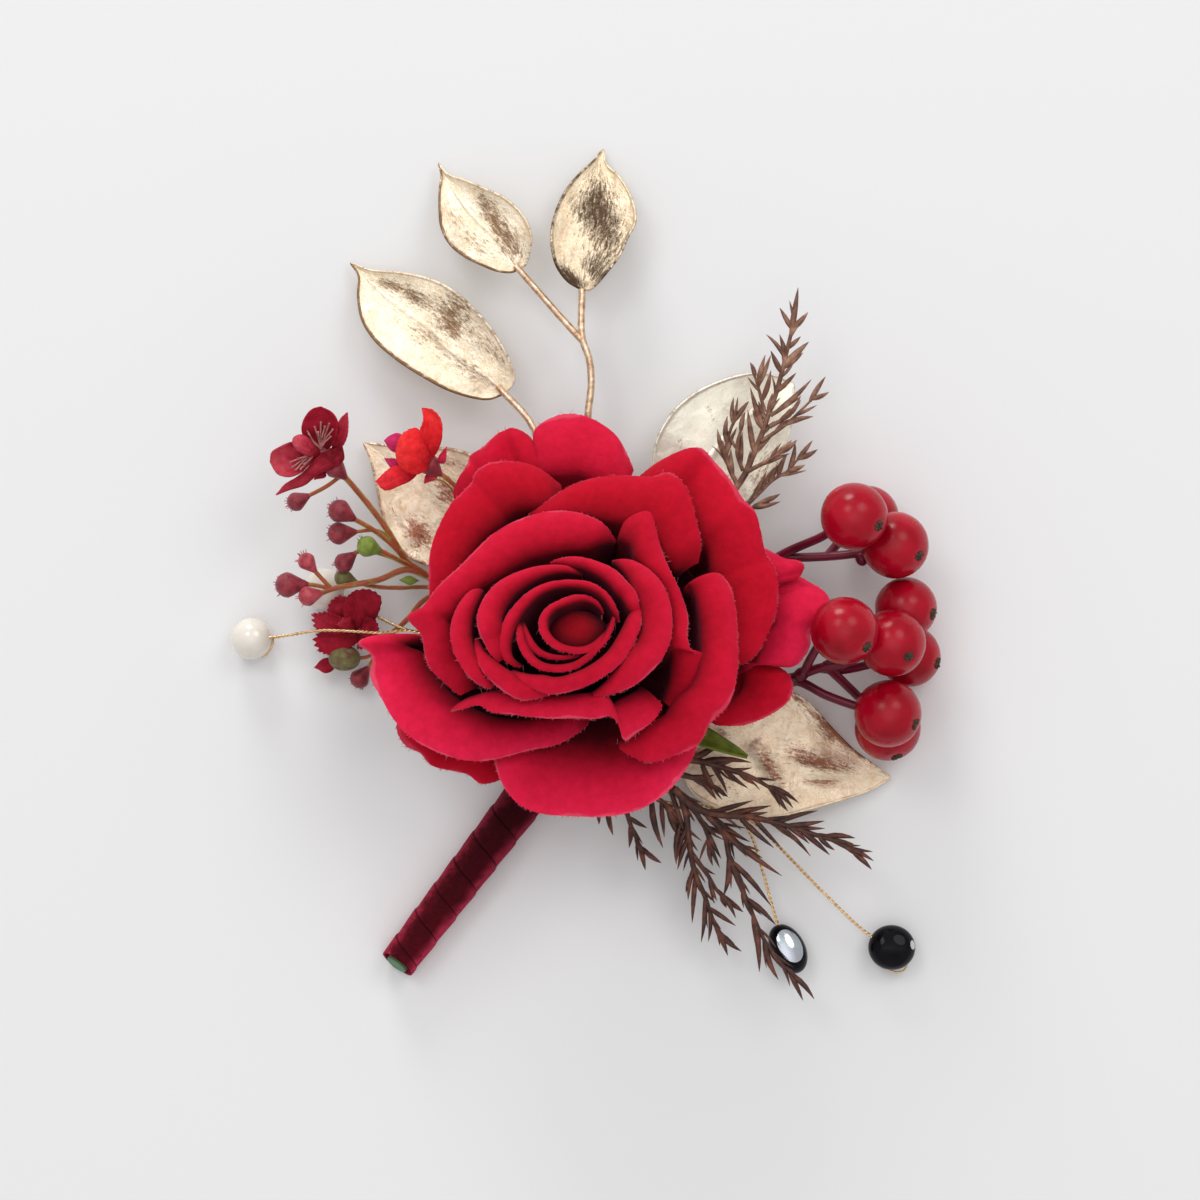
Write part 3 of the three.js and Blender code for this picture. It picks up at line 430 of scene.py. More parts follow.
def ribbon_velvet():
    """Wine velvet with dark seams and fine ribs. Its colour is painted sheen along both long sides, nearly
    black on top, and painted shadow that darkens it towards the rose.
    """
    s = Shade(
        "ribbon_velvet", Roughness=0.85, Specular_IOR_Level=0.10, Sheen_Weight=0.45, Sheen_Roughness=0.35,
        Sheen_Tint=(0.95, 0.08, 0.16, 1),
    )
    crush = s.spread_of(s.cloud(0.45, 5.0, 0.7), -0.22, 0.22)
    # painted sheen: the ramp over the flank lights both long sides and leaves the top nearly black
    sides = s.ramp(s.span(s.math("ADD", s.attribute("flank"), crush), -1, 1), [
        (0.0, (0.20, 0.012, 0.032)), (0.09, (0.25, 0.016, 0.040)), (0.20, (0.10, 0.005, 0.013)),
        (0.32, (0.042, 0.0012, 0.004)), (0.6, (0.034, 0.0010, 0.003)), (0.78, (0.060, 0.002, 0.006)),
        (0.90, (0.15, 0.008, 0.020)), (1.0, (0.18, 0.012, 0.030)),
    ])
    # painted shadow: darker towards the rose, which overhangs the wrap's upper end
    lower = s.span(s.split(s.coords(), 1), -8, -33, 0.75, 1.9)
    across = s.split(s.uv(), 1)
    seams = s.math("MULTIPLY", s.span(across, 0.0, 0.45, 0.35, 1.0), s.span(across, 4.75, 5.0, 1.0, 0.3))
    rib = 0.36
    ribs = s.math("SINE", s.math("MULTIPLY", across, TAU / rib))
    ribbed_shade = s.span(ribs, -1, 1, 0.80, 1.15)
    nap = s.math("MULTIPLY", s.spread_of(s.cloud(1.8, 5.0, 0.7), 0.68, 1.30), ribbed_shade)
    shade = s.math("MULTIPLY", s.math("MULTIPLY", lower, seams), nap)
    s.set(Base_Color=s.node("VectorMath", {0: sides, 1: shade}, operation="MULTIPLY").outputs[0])
    pile = s.cloud(5.0, 3.0, 0.7)
    s.set(Normal=s.bump(s.math("ADD", s.math("MULTIPLY", ribs, 0.25), pile), 0.10, 0.8))
    return s.made


def binding_tape():
    s = mottled("binding_tape", (0.5, 4.0), (0.018, 0.035, 0.010), (0.055, 0.085, 0.026), Roughness=0.7)
    wraps = s.node("TexWave", {"Vector": s.coords(), "Scale": 0.22, "Distortion": 2.5, "Detail": 3.0})
    s.set(Normal=s.bump(wraps.outputs[0], 0.25, 0.7))
    return s.made


def pearl_lustre():
    dark, light = (0.80, 0.73, 0.63), (0.90, 0.85, 0.77)
    return mottled(
        "pearl_lustre", (0.25, 3.0), dark, light, (1.2, 3.0, 0.02, 0.4), Roughness=0.22,
        Specular_IOR_Level=0.6, Coat_Weight=0.8, Coat_Roughness=0.06, Sheen_Weight=0.25, Sheen_Roughness=0.3,
        Sheen_Tint=(1.0, 0.93, 0.88, 1),
    ).made


def bead_glass():
    dark, light = (0.002, 0.002, 0.003), (0.008, 0.008, 0.010)
    return mottled(
        "bead_glass", (0.4, 3.0), dark, light, (0.5, 2.0, 0.03, 0.4), Roughness=0.05, Specular_IOR_Level=0.11,
    ).made


def bead_facet():
    """The cut face of a bead: a thin mirror film that turns from blue-grey to straw."""
    s = Shade("bead_facet", Metallic=0.85, Roughness=0.12, Coat_Weight=1.0, Coat_Roughness=0.05)
    s.set(Base_Color=s.ramp(s.cloud(0.28, 2.0, 0.4, 0.5), [
        (0.30, (0.42, 0.60, 0.66)), (0.45, (0.58, 0.64, 0.68)), (0.62, (0.52, 0.54, 0.62)),
        (0.8, (0.64, 0.63, 0.50)),
    ]))
    return s.made


# ---------------------------------------------------------------- shape helpers
def finished(name, bm, materials, slot, *nodes):
    """Turns a bmesh in millimetres into a named piece in metres that stands for the given nodes."""
    bmesh.ops.scale(bm, vec=(MM, MM, MM), verts=bm.verts)
    mesh = bpy.data.meshes.new(name)
    bm.to_mesh(mesh)
    bm.free()
    mesh.shade_smooth()
    for made in materials:
        mesh.materials.append(made)
    piece = bpy.data.objects.new(name, mesh)
    bpy.context.collection.objects.link(piece)
    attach(piece, "root")
    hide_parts(*nodes)
    return piece


def thicken(piece, thickness, rim_material=0):
    made = piece.modifiers.new("thickness", "SOLIDIFY")
    made.thickness = thickness * MM
    made.offset = 0
    made.material_offset_rim = rim_material


def close(bm, dist=0.002):
    """Welds the seam of a shape that meets itself and turns its faces outwards."""
    bmesh.ops.remove_doubles(bm, verts=bm.verts, dist=dist)
    bmesh.ops.recalc_face_normals(bm, faces=bm.faces)


def paint(bm, before, material):
    """Gives a material to the faces that were made after the first ones."""
    bm.faces.ensure_lookup_table()
    for face in bm.faces[before:]:
        face.material_index = material


def bell(value, middle, width):
    return math.exp(-(((value - middle) / width) ** 2))


def bezier(t, a, b, c, d):
    s = 1 - t
    return a * s**3 + 3 * b * s * s * t + 3 * c * s * t * t + d * t**3


def smoothed(values, t):
    """A point at t from 0 to 1 on the centripetal spline through values."""
    last = len(values) - 1
    place = min(max(t, 0.0), 1.0) * last
    k = min(int(place), last - 1)
    w = place - k
    p1, p2 = values[k], values[k + 1]
    p0 = values[k - 1] if k > 0 else p1 * 2 - p2
    p3 = values[k + 2] if k + 2 <= last else p2 * 2 - p1
    d0, d1, d2 = (max((b - a).length, 1e-6) ** 0.5 for a, b in ((p0, p1), (p1, p2), (p2, p3)))
    m1 = ((p1 - p0) / d0 - (p2 - p0) / (d0 + d1) + (p2 - p1) / d1) * d1
    m2 = ((p2 - p1) / d1 - (p3 - p1) / (d1 + d2) + (p3 - p2) / d2) * d1
    return p1 + m1 * w + (p2 * 3 - p1 * 3 - m1 * 2 - m2) * w**2 + (p1 * 2 - p2 * 2 + m1 + m2) * w**3


def points(rows):
    return [Vector(row) for row in rows]


def length_of(line):
    return sum((b - a).length for a, b in zip(line, line[1:]))


def along(route, count):
    """Points at even steps along the spline through a route."""
    dense = [smoothed(route, k / (8 * count)) for k in range(8 * count + 1)]
    gone = [0.0]
    for a, b in zip(dense, dense[1:]):
        gone.append(gone[-1] + (b - a).length)
    made, k = [], 0
    for n in range(count + 1):
        want = gone[-1] * n / count
        while k < len(gone) - 2 and gone[k + 1] < want:
            k += 1
        part = (want - gone[k]) / max(gone[k + 1] - gone[k], 1e-9)
        made.append(dense[k].lerp(dense[k + 1], part))
    return made


def spread(bm, across, onwards, place, uv_size=(1.0, 1.0), tag="reach", tag_of=None, material=0):
    """Adds a grid whose vertices go to place(u, v). The tag attribute holds v, or tag_of(u, v)."""
    uv = bm.loops.layers.uv.verify()
    layer = bm.verts.layers.float.get(tag) or bm.verts.layers.float.new(tag)
    before = len(bm.faces)
    made = bmesh.ops.create_grid(bm, x_segments=across, y_segments=onwards, size=0.5, calc_uvs=False)["verts"]
    where = {}
    for vert in made:
        u, v = vert.co.x + 0.5, vert.co.y + 0.5
        where[vert] = (u, v)
        vert[layer] = tag_of(u, v) if tag_of else v
        vert.co = place(u, v)
    paint(bm, before, material)
    for face in bm.faces[before:]:
        for loop in face.loops:
            u, v = where[loop.vert]
            loop[uv].uv = (u * uv_size[0], v * uv_size[1])
    return made


def add_stems(bm, routes, sides=2, material=0):
    """Round stems through routes of (x, y, z, radius)."""
    curve = bpy.data.curves.new("stems", "CURVE")
    curve.dimensions = "3D"
    curve.bevel_depth = 1.0
    curve.bevel_resolution = sides
    curve.use_fill_caps = True
    for route in routes:
        line = curve.splines.new("POLY")
        line.points.add(len(route) - 1)
        for point, (x, y, z, radius) in zip(line.points, route):
            point.co = (x, y, z, 1)
            point.radius = radius
    holder = bpy.data.objects.new("stems", curve)
    bpy.context.collection.objects.link(holder)
    bpy.context.view_layer.update()
    mesh = bpy.data.meshes.new_from_object(holder.evaluated_get(bpy.context.evaluated_depsgraph_get()))
    before = len(bm.faces)
    bm.from_mesh(mesh)
    paint(bm, before, material)
    bpy.data.objects.remove(holder)
    bpy.data.curves.remove(curve)
    bpy.data.meshes.remove(mesh)


def stem_route(rows, radius, count=24, end_radius=None):
    """A route of even steps through rows, with the radius drawn down to end_radius."""
    line = along(points(rows), count)
    last = radius if end_radius is None else end_radius
    return [(*p, radius + (last - radius) * k / count) for k, p in enumerate(line)]


def from_knot(angle, height):
    """The first points of a stem that stands in the knot at a compass angle and height."""
    turn = math.radians(angle)
    return [(d * math.cos(turn), d * math.sin(turn), height) for d in KNOT_EXIT]


def facing(direction, centre):
    """A matrix that stands +Z along a direction at a centre."""
    return Matrix.Translation(centre) @ Vector(direction).to_track_quat("Z", "Y").to_matrix().to_4x4()


def add_ball(bm, centre, radius, shape, direction=UP, wide=32, high=20, material=0):
    """A ball whose points shape(point) moves in its own frame, +Z along direction."""
    before = len(bm.faces)
    made = bmesh.ops.create_uvsphere(bm, u_segments=wide, v_segments=high, radius=radius)["verts"]
    for vert in made:
        vert.co = shape(vert.co.copy())
    bmesh.ops.transform(bm, matrix=facing(direction, centre), verts=made)
    paint(bm, before, material)


def cut_face(bm, point, normal, material):
    """Cuts a mesh off flat at a point, and closes the cut with a face unless its material is None."""
    made = bmesh.ops.bisect_plane(
        bm, geom=[*bm.verts, *bm.edges, *bm.faces], plane_co=point, plane_no=normal.normalized(),
        clear_outer=True)
    if material is None:
        return None
    rim = [edge for edge in made["geom_cut"] if isinstance(edge, bmesh.types.BMEdge)]
    face = bmesh.ops.contextual_create(bm, geom=rim)["faces"][0]
    face.material_index = material
    face.smooth = False
    return face


# ---------------------------------------------------------------- rose
def in_rose(x, y, h):
    """A point of the bloom's own frame, h along its axis, in the object's frame."""
    c, s = math.cos(ROSE_TILT), math.sin(ROSE_TILT)
    return Vector((ROSE_BASE.x + x, ROSE_BASE.y + y * c + h * s, ROSE_BASE.z + h * c - y * s))


# A petal's habit: oval squeezes its ring from front to back, roll lifts the lip's crest, belly bulges the
# wall, wave ripples the petal, narrow gathers its foot, sink is its foot's height, depth sets how far in
# from the lip it is darkened with painted shade, and flush is the share of a brighter, pinker colour.
# Folds hold (place along the rim, width, depth).
HEART = {"oval": 0.84, "roll": 0.42, "belly": 1.0, "wave": 0.22, "narrow": 0.8, "depth": 1.0, "flush": 0.30}
MIDDLE = {"roll": 0.30, "belly": 0.9, "wave": 0.5, "sink": 4, "depth": 0.9, "flush": 0.25}
OUTER = {"roll": 0.20, "belly": 0.8, "wave": 0.8, "depth": 0.62, "flush": 0.0}

PETALS = [
    # a rim holds (degrees round the axis, radius, height, width of the rolled lip)
    # the heart, from the bud outwards
    {**HEART, "sink": 13,
     "rim": [(38, 3.1, 21, 0.3), (80, 4.4, 22, 0.8), (135, 4.9, 23, 1.3), (168, 6.2, 23, 1.4),
             (197, 6.7, 23, 1.3), (226, 6.6, 23, 1.2), (258, 6.0, 23, 1.1), (307, 4.0, 22, 0.9),
             (356, 3.6, 21, 0.4)]},
    {**HEART, "sink": 12,
     "rim": [(180, 8.8, 22, 0.5), (196, 8.9, 22.5, 0.9), (226, 8.6, 22.5, 0.9), (253, 6.8, 22, 0.9),
             (269, 5.1, 21.5, 0.8), (308, 3.5, 21, 0.6), (368, 3.3, 20.5, 0.4)]},
    {**HEART, "sink": 12,
     "rim": [(180, 9.2, 22, 0.6), (194, 9.6, 23, 0.9), (208, 10.1, 23, 1.1), (232, 10.6, 23, 1.2),
             (255, 8.9, 23, 1.2), (267, 7.3, 22.7, 1.1), (287, 5.3, 22.3, 1.0), (322, 4.1, 22, 0.8),
             (368, 4.1, 21.5, 0.6), (399, 5.3, 21, 0.4)]},
    {**HEART, "sink": 11,
     "rim": [(6, 4.6, 21, 0.5), (35, 5.0, 22, 0.9), (62, 5.8, 22.5, 1.1), (83, 6.6, 23, 1.3),
             (106, 7.4, 23, 1.3), (146, 9.2, 23, 1.5), (164, 10, 23, 1.7), (179, 11, 23, 1.9),
             (193, 12.1, 23, 1.9), (204, 12.9, 22.5, 1.7), (212, 12.9, 22, 1.2), (221, 11.9, 21.5, 0.6)]},
    {**HEART, "sink": 9,
     "rim": [(12, 7.5, 21, 1), (26, 8.1, 22, 1.8), (41, 8.7, 22, 2.2), (53, 9, 22.5, 2.4),
             (67, 9.9, 22.5, 2.5), (80, 10.7, 22.5, 2.4), (92, 11.3, 22.5, 2.1), (103, 11.8, 22, 1.6),
             (114, 12.2, 20.5, 0.6)]},
    {**HEART, "sink": 9,
     "rim": [(93, 8.8, 21, 0.4), (102, 9.8, 22, 1), (116, 11, 22.5, 1.6), (138, 12.5, 23, 2.5),
             (156, 13.9, 23, 3.1), (176, 14.8, 23, 3.4), (188, 14.7, 23, 3.2), (195, 14.4, 22.5, 2.8),
             (203, 14.2, 22, 2.2), (210, 13.7, 21.5, 1.2)]},
    {**HEART, "sink": 9,
     "rim": [(219, 13.1, 21, 0.5), (230, 13.5, 22, 1.6), (239, 13.7, 22.5, 2.6), (248, 13.7, 22.5, 3.1),
             (262, 12.2, 22.5, 3.2), (282, 10.3, 22.5, 3.1), (308, 8.5, 22.5, 2.8), (324, 7.8, 22.5, 2.6),
             (344, 7.5, 22.5, 2.4), (368, 7.7, 22, 2), (389, 8.3, 21, 1)]},
    {**HEART, "sink": 7,
     "rim": [(187, 15.5, 20, 0.6), (199, 15.9, 21, 1.4), (211, 16.3, 21.5, 2.6), (221, 16.3, 21.5, 3.2),
             (230, 16.2, 21.5, 3.2), (238, 15.8, 21.5, 3), (243, 14.4, 21, 2.2), (248, 12.7, 20, 1)]},
    {**HEART, "sink": 7,
     "rim": [(151, 16.6, 18, 0.6), (157, 17.1, 20, 1.6), (165, 17.5, 21, 2.2), (183, 18.4, 21, 2.8),
             (200, 18.5, 21, 2.6), (213, 18, 20.5, 2), (219, 16.7, 20, 1)]},
    {**HEART, "sink": 6,
     "rim": [(-85, 12.3, 20, 1), (-75, 12.5, 20.5, 2.4), (-66, 12.6, 21, 3.6), (-46, 12.2, 21.5, 4.6),
             (-22, 11.9, 21.5, 4.5), (5, 11.8, 21.5, 4.2), (31, 12.5, 21.5, 4.2), (43, 12.8, 21.5, 4),
             (54, 13.1, 21, 3.2), (64, 13.1, 20.5, 2), (73, 12.9, 19, 0.6)]},
    # the middle ring
    {**MIDDLE,
     "rim": [(74, 14.8, 17, 0.8), (82, 16.1, 19, 3.2), (90, 16.8, 19.5, 4.8), (107, 18, 20, 6),
             (123, 18.7, 20, 6), (148, 19.3, 19.5, 5), (162, 21.3, 19, 4.6), (171, 23, 18, 5),
             (174, 24.8, 17.5, 6), (179, 23, 17, 5), (189, 22.1, 15, 4.5), (196, 20.4, 14, 4),
             (203, 18.8, 13, 3)]},
    {**MIDDLE, "flush": 0.15,
     "rim": [(73, 16.4, 16, 1.5), (72, 18.6, 18, 4), (64, 19.8, 19.5, 5.8), (57, 17.7, 20, 5.2),
             (48, 15.6, 20, 3.6), (36, 14.2, 20, 2.1), (20, 14.1, 19, 2), (6, 14.2, 19, 2.4),
             (-4, 13.9, 19, 2.6), (-11, 15, 18, 3.6), (-10, 17.1, 17, 5.2), (-21, 16.5, 15, 4),
             (-38, 14.5, 13, 1.5)]},
    {**MIDDLE, "flush": 0.45,
     "rim": [(209, 21.3, 15.5, 4.4), (212, 20.3, 17, 4.6), (215, 18.4, 18, 3.6), (223, 17.4, 18.5, 4.2),
             (230, 16.2, 19, 3.9), (248, 14, 19, 3.7), (263, 13, 19, 3.7), (276, 13.1, 19, 4.0),
             (286, 13.3, 19, 4.4), (289, 14.6, 18, 4.2), (289, 16, 17, 5.5), (297, 15.5, 16, 5.5),
             (308, 15, 15.5, 5), (318, 14, 15, 4)]},
    # the outer ring
    {**OUTER, "sink": 2, "depth": 0.9,
     "rim": [(166, 21.5, 12, 2), (159, 23.5, 13, 3.5), (155, 24.3, 14, 5), (147, 25.8, 15, 6),
             (134, 27.5, 16, 7), (124, 28.1, 16.5, 7.5), (122, 29, 16.5, 8), (117, 29.2, 17, 8),
             (107, 27.1, 16.5, 7), (99, 23.6, 15, 4)]},
    {**OUTER, "sink": 3, "wave": 0.5, "depth": 0.9,
     "rim": [(113, 20.7, 16, 2), (109, 20.5, 17, 3), (101, 21.5, 18, 4.5), (95, 22.3, 18.5, 5.5),
             (79, 24.1, 18.5, 7), (68, 25.1, 19, 8), (64, 26.3, 19, 9), (58, 25.5, 19, 9),
             (47, 22.4, 18, 7), (41, 21.1, 17, 5.5), (37, 19.5, 15, 3.5)]},
    {**OUTER, "sink": 1.5, "depth": 0.85, "folds": [(0.60, 0.05, 0.6), (0.30, 0.06, 0.8)],
     "rim": [(74, 26.3, 14, 5), (70, 28.5, 15, 7), (63, 32.5, 15.5, 9), (60, 33.2, 15.5, 10),
             (56, 32.5, 15, 10), (44, 30.6, 15, 9), (40, 30.8, 14.5, 9), (29, 28.6, 13.5, 8.5),
             (24, 28.8, 13, 8.5), (12, 27, 12, 8), (6, 25.5, 11.5, 7), (-1, 23.6, 11, 5),
             (-4, 21.8, 10, 3)]},
    {**OUTER, "sink": 3, "roll": 0.36, "wave": 0.5, "depth": 0.9, "flush": 0.2,
     "rim": [(23, 16.6, 15, 0.8), (27, 17.7, 17, 2.5), (27, 19.8, 18, 4), (21, 21.1, 18, 5),
             (12, 20.9, 18, 5), (-1, 20.9, 17.5, 5), (-13, 21.4, 17, 5.2), (-26, 21.8, 16, 5.8),
             (-35, 20.9, 15, 6), (-43, 21.2, 13, 6.5), (-54, 19.7, 12, 6), (-63, 18.7, 12, 4.5),
             (-72, 15.6, 12, 1.5)]},
    {**OUTER, "sink": 0.5, "depth": 1.15, "flush": 0.75,
     "rim": [(171, 21, 11.5, 2), (175, 23.6, 11.5, 5), (175, 27.6, 11.5, 7), (177, 30.5, 12.2, 7.5),
             (179, 31.6, 12.6, 7), (181, 29.8, 11, 8), (186, 30.1, 10, 9), (192, 29.2, 10, 9),
             (207, 27.3, 10, 10), (225, 22.2, 10, 9), (241, 16.2, 10, 6), (252, 13.9, 9.5, 5),
             (264, 11.5, 9, 4), (272, 9.5, 8, 3)]},
    {**OUTER, "sink": 0, "roll": 0.10, "flush": 0.7, "depth": 1.85,
     "rim": [(220, 16, 5.5, 9), (229, 19.3, 7, 12), (247, 23, 7, 16), (265, 23, 7, 17), (289, 23, 7, 17),
             (314, 21, 8, 14), (333, 18, 7, 10)]},
    {**OUTER, "sink": 0, "wave": 0.5, "flush": 0.35,
     "rim": [(104, 29.5, 12, 5), (104, 31, 13, 6), (103, 33, 13.5, 7), (97, 34.8, 14, 9), (91, 34.6, 14, 9),
             (86, 33.2, 14, 9), (82, 31.5, 14, 8), (79, 29.5, 13.5, 7), (76, 27.4, 13, 5)]},
    {**OUTER, "sink": 0, "wave": 1.6, "flush": 0.1, "folds": [(0.35, 0.08, 1.3), (0.62, 0.07, 1.5)],
     "rim": [(128, 29, 8, 4), (127, 31.1, 9, 6), (121, 32.6, 12, 8), (119, 34.1, 12.5, 8),
             (115, 33.7, 12.5, 8), (110, 34.6, 13, 8), (107, 34.2, 13, 8), (104, 33, 13, 7),
             (104, 31.4, 12, 5)]},
    {**OUTER, "sink": -0.3, "flush": 0.6,
     "rim": [(38, 29, 5.5, 3), (35, 30.7, 6, 5), (30, 31.7, 7, 6), (25, 33.9, 7.5, 7), (23, 32.3, 7, 5)]},
    {**OUTER, "sink": -0.3, "flush": 0.8,
     "rim": [(28, 31, 4.5, 5), (25, 32.9, 5, 6), (22, 34, 5.5, 7), (17, 35.2, 6, 8), (13, 34.9, 6, 8),
             (10, 32.2, 6, 7), (5, 31.4, 6, 7), (0, 29, 5.5, 6), (1, 25.5, 5, 4)]},
    {**OUTER, "sink": -0.5,
     "rim": [(4, 25.6, 3, 4), (-1, 28.2, 3.5, 6), (-6, 29, 3.5, 7), (-9, 28.5, 3.5, 7), (-15, 25.9, 3.5, 6),
             (-20, 23.2, 3.5, 5), (-24, 19.9, 3.5, 3)]},
    {**OUTER, "sink": -0.5,
     "rim": [(192, 27, 3, 4), (198, 27.9, 2.8, 6), (203, 27.5, 2.5, 6), (207, 26.2, 2.5, 6),
             (213, 25.6, 2.5, 6), (221, 22.6, 2.5, 5), (228, 21.8, 2, 5), (232, 19.5, 2, 4)]},
]


def petal_form(index, rim, roll, belly, wave, sink, narrow=0.6, oval=1.0, folds=()):
    """place(u, v) of one petal. Its wall rises to a crest, then the lip rolls outwards to the rim."""
    edge = points(rim)
    middle = (rim[0][0] + rim[-1][0]) / 2
    root = CORE_RADIUS - 2
    least_lip = 0.25
    jagged = 0.13
    ends = {}

    def end_at(u):
        key = round(u, 5)
        if key not in ends:
            ends[key] = smoothed(edge, u)
        return ends[key]

    def place(u, v):
        end = end_at(u)
        lip = max(end.w, least_lip)
        rim_radius = end.y + (jagged * noise.noise((u * 160, index * 7.0, 0)) * v if v > 0.9 else 0)
        crest = max(rim_radius - lip, root + 0.1)
        low = end.z - 0.10 * lip
        high = end.z + roll * lip
        if v < WALL_SHARE:
            t = v / WALL_SHARE
            r = bezier(t, root, root + belly * (crest - root), crest, crest)
            h = bezier(t, sink, sink + 0.1 * (low - sink), low - 0.45 * (low - sink), low)
        else:
            t = (v - WALL_SHARE) / (1 - WALL_SHARE)
            r = bezier(t, crest, crest + 0.04 * lip, rim_radius - 0.28 * lip, rim_radius)
            h = bezier(t, low, high, high, end.z)
            for place_u, width, depth in folds:
                h -= depth * bell(u, place_u, width) * math.sin(math.pi * min(t, 0.8) ** 1.2)
        outward = min(1.0, max(0.0, (r - root) / max(crest - root, 0.1)))
        angle = middle + (end.x - middle) * narrow
        angle = math.radians(angle + (end.x - angle) * outward**0.7)
        x, y = r * math.cos(angle), r * math.sin(angle)
        sway = noise.noise_vector((x * 0.12, y * 0.12, h * 0.12 + index)) * 0.3 * v
        ripple = noise.noise((u * 5.5, index * 3.1, v * 1.4)) * wave * v * v
        r += 0.3 * ripple
        return in_rose(r * math.cos(angle), oval * r * math.sin(angle), h + ripple) + sway

    return place


def petal(index, depth, flush, fabric, thread, **form):
    """Makes one petal, and gives its place(u, v) and the length of its rim."""
    place = petal_form(index, **form)
    rim_length = length_of([place(k / 60, 1.0) for k in range(61)])
    length = (place(0.5, 1.0) - place(0.5, 0.0)).length * 1.2

    # painted shade: darker towards the petal's foot, as far as depth sets, and at both its ends, where it
    # tucks under its neighbours
    def reach(u, v):
        return 1 - (1 - v) * depth - 0.30 * (bell(u, 0, 0.06) + bell(u, 1, 0.06))

    bm = bmesh.new()
    columns = max(40, int(rim_length / CLOTH_COLUMN))
    spread(bm, columns, CLOTH_ROWS, place, (rim_length, length), tag_of=reach)
    layer = bm.verts.layers.float.new("flush")
    for vert in bm.verts:
        vert[layer] = flush
    for edge in bm.edges:
        edge.smooth = not edge.is_boundary
    piece = finished(f"rose_petal_{index + 1:02d}", bm, [fabric, thread], "rose_fabric", "rose_bloom")
    thicken(piece, CLOTH_THICKNESS, 1)
    return place, rim_length


def fray(bm, place, rim_length, draw):
    """Short loose threads along a petal's rim, now and then a long one."""
    for _ in range(int(rim_length * THREADS_PER_MM)):
        u = draw.uniform(0.01, 0.99)
        root = place(u, 0.997)
        out = (place(u, 1.0) - place(u, 0.96)).normalized()
        side = (place(min(u + 0.01, 1), 1.0) - place(max(u - 0.01, 0), 1.0)).normalized()
        lean = draw.uniform(-0.8, 0.8)
        lift = Vector((0, 0, draw.uniform(0.0, 0.6)))
        way = (out + side * lean + lift).normalized()
        long = draw.uniform(0.15, 0.48) * (2.6 if draw.random() < 0.03 else 1.0)
        bmesh.ops.create_cone(
            bm, cap_ends=True, segments=3, radius1=0.05, radius2=0.015, depth=long,
            matrix=facing(way, root + way * long * 0.4),
        )


def shade_lining(fabric):
    """A sheet at the dark foot of the bloom, which shows between the middle and the outer ring, at the upper
    right. Its fixed dark colour is painted shade.
    """
    # (radius, height, 0)
    wall = points([(3, 1.5, 0), (10, 3.6, 0), (15, 6, 0), (17.6, 8.6, 0), (18.8, 11, 0)])
    # dark sets the sheet's fixed place low on the rose cloth's ramp: painted shade
    start, span, dark = 8, 70, 0.12

    def lining(u, v):
        p = smoothed(wall, v)
        turn = math.radians(start + span * u)
        return in_rose(p.x * math.cos(turn), p.x * math.sin(turn), p.y)

    bm = bmesh.new()
    spread(bm, 28, 16, lining, (20, 16), tag_of=lambda u, v: dark)
    thicken(finished("rose_shade_lining", bm, [fabric], "rose_fabric", "rose_bloom"), CLOTH_THICKNESS)


def bud_core(fabric):
    """The tight bud in the heart, which the innermost petal wraps."""
    profile = points([  # (radius, height, 0)
        (0, -0.8, 0), (3, -0.8, 0), (CORE_RADIUS, 1, 0), (CORE_RADIUS, 12, 0), (4.4, 17.5, 0),
        (4.2, 19.4, 0),
        (2.7, 20.9, 0), (0, 21.4, 0),
    ])

    def bud(u, v):
        p = smoothed(profile, v)
        turn = TAU * u
        swirl = 1 + (0.05 * math.sin(turn + p.y * 0.5) if p.y > 12 else 0)
        r = p.x * swirl
        return in_rose(-1.1 + r * math.cos(turn), -0.5 + 0.84 * r * math.sin(turn), p.y)

    bm = bmesh.new()
    # painted shade and highlight: the bud darkens towards its foot, with a soft painted highlight on its top
    spread(bm, 48, 56, bud, (25, 22), tag_of=lambda u, v: 0.40 * v + 0.14 * bell(v, 1, 0.10))
    close(bm)
    finished("rose_bud_core", bm, [fabric], "rose_fabric", "rose_bloom")


def rose(fabric, thread):
    draw = random.Random(5)
    threads = bmesh.new()
    for index, habit in enumerate(PETALS):
        place, rim_length = petal(index, fabric=fabric, thread=thread, **habit)
        fray(threads, place, rim_length, draw)
    finished("rose_frayed_edges", threads, [thread], "rose_fabric", "rose_bloom")
    shade_lining(fabric)
    bud_core(fabric)


# direction in degrees, reach, height of the tip
SEPALS = [(-24, 24.9, -4), (48, 11.5, -0.9), (120, 11.5, -0.9), (192, 15, -2.5), (264, 15, -3.5)]


def sepal_form(angle, reach, drop):
    """place(u, v) of one sepal by its direction in degrees, its reach and the height of its tip."""
    turn = math.radians(angle)

    def place(u, v):
        distance = 1.5 + (reach - 1.5) * v
        half = 0.12 + 2.0 * math.sin(math.pi * min(1.0, 0.25 + 0.75 * v)) ** 0.8
        side = 2 * u - 1
        waver = 0.25 * math.sin(9 * v + angle) * v
        height = CALYX_TOP - 1 + (drop - CALYX_TOP + 1) * v + 0.5 * side * side + waver
        across = half * side
        return in_rose(
            distance * math.cos(turn) - across * math.sin(turn),
            distance * math.sin(turn) + across * math.cos(turn), height)

    return place


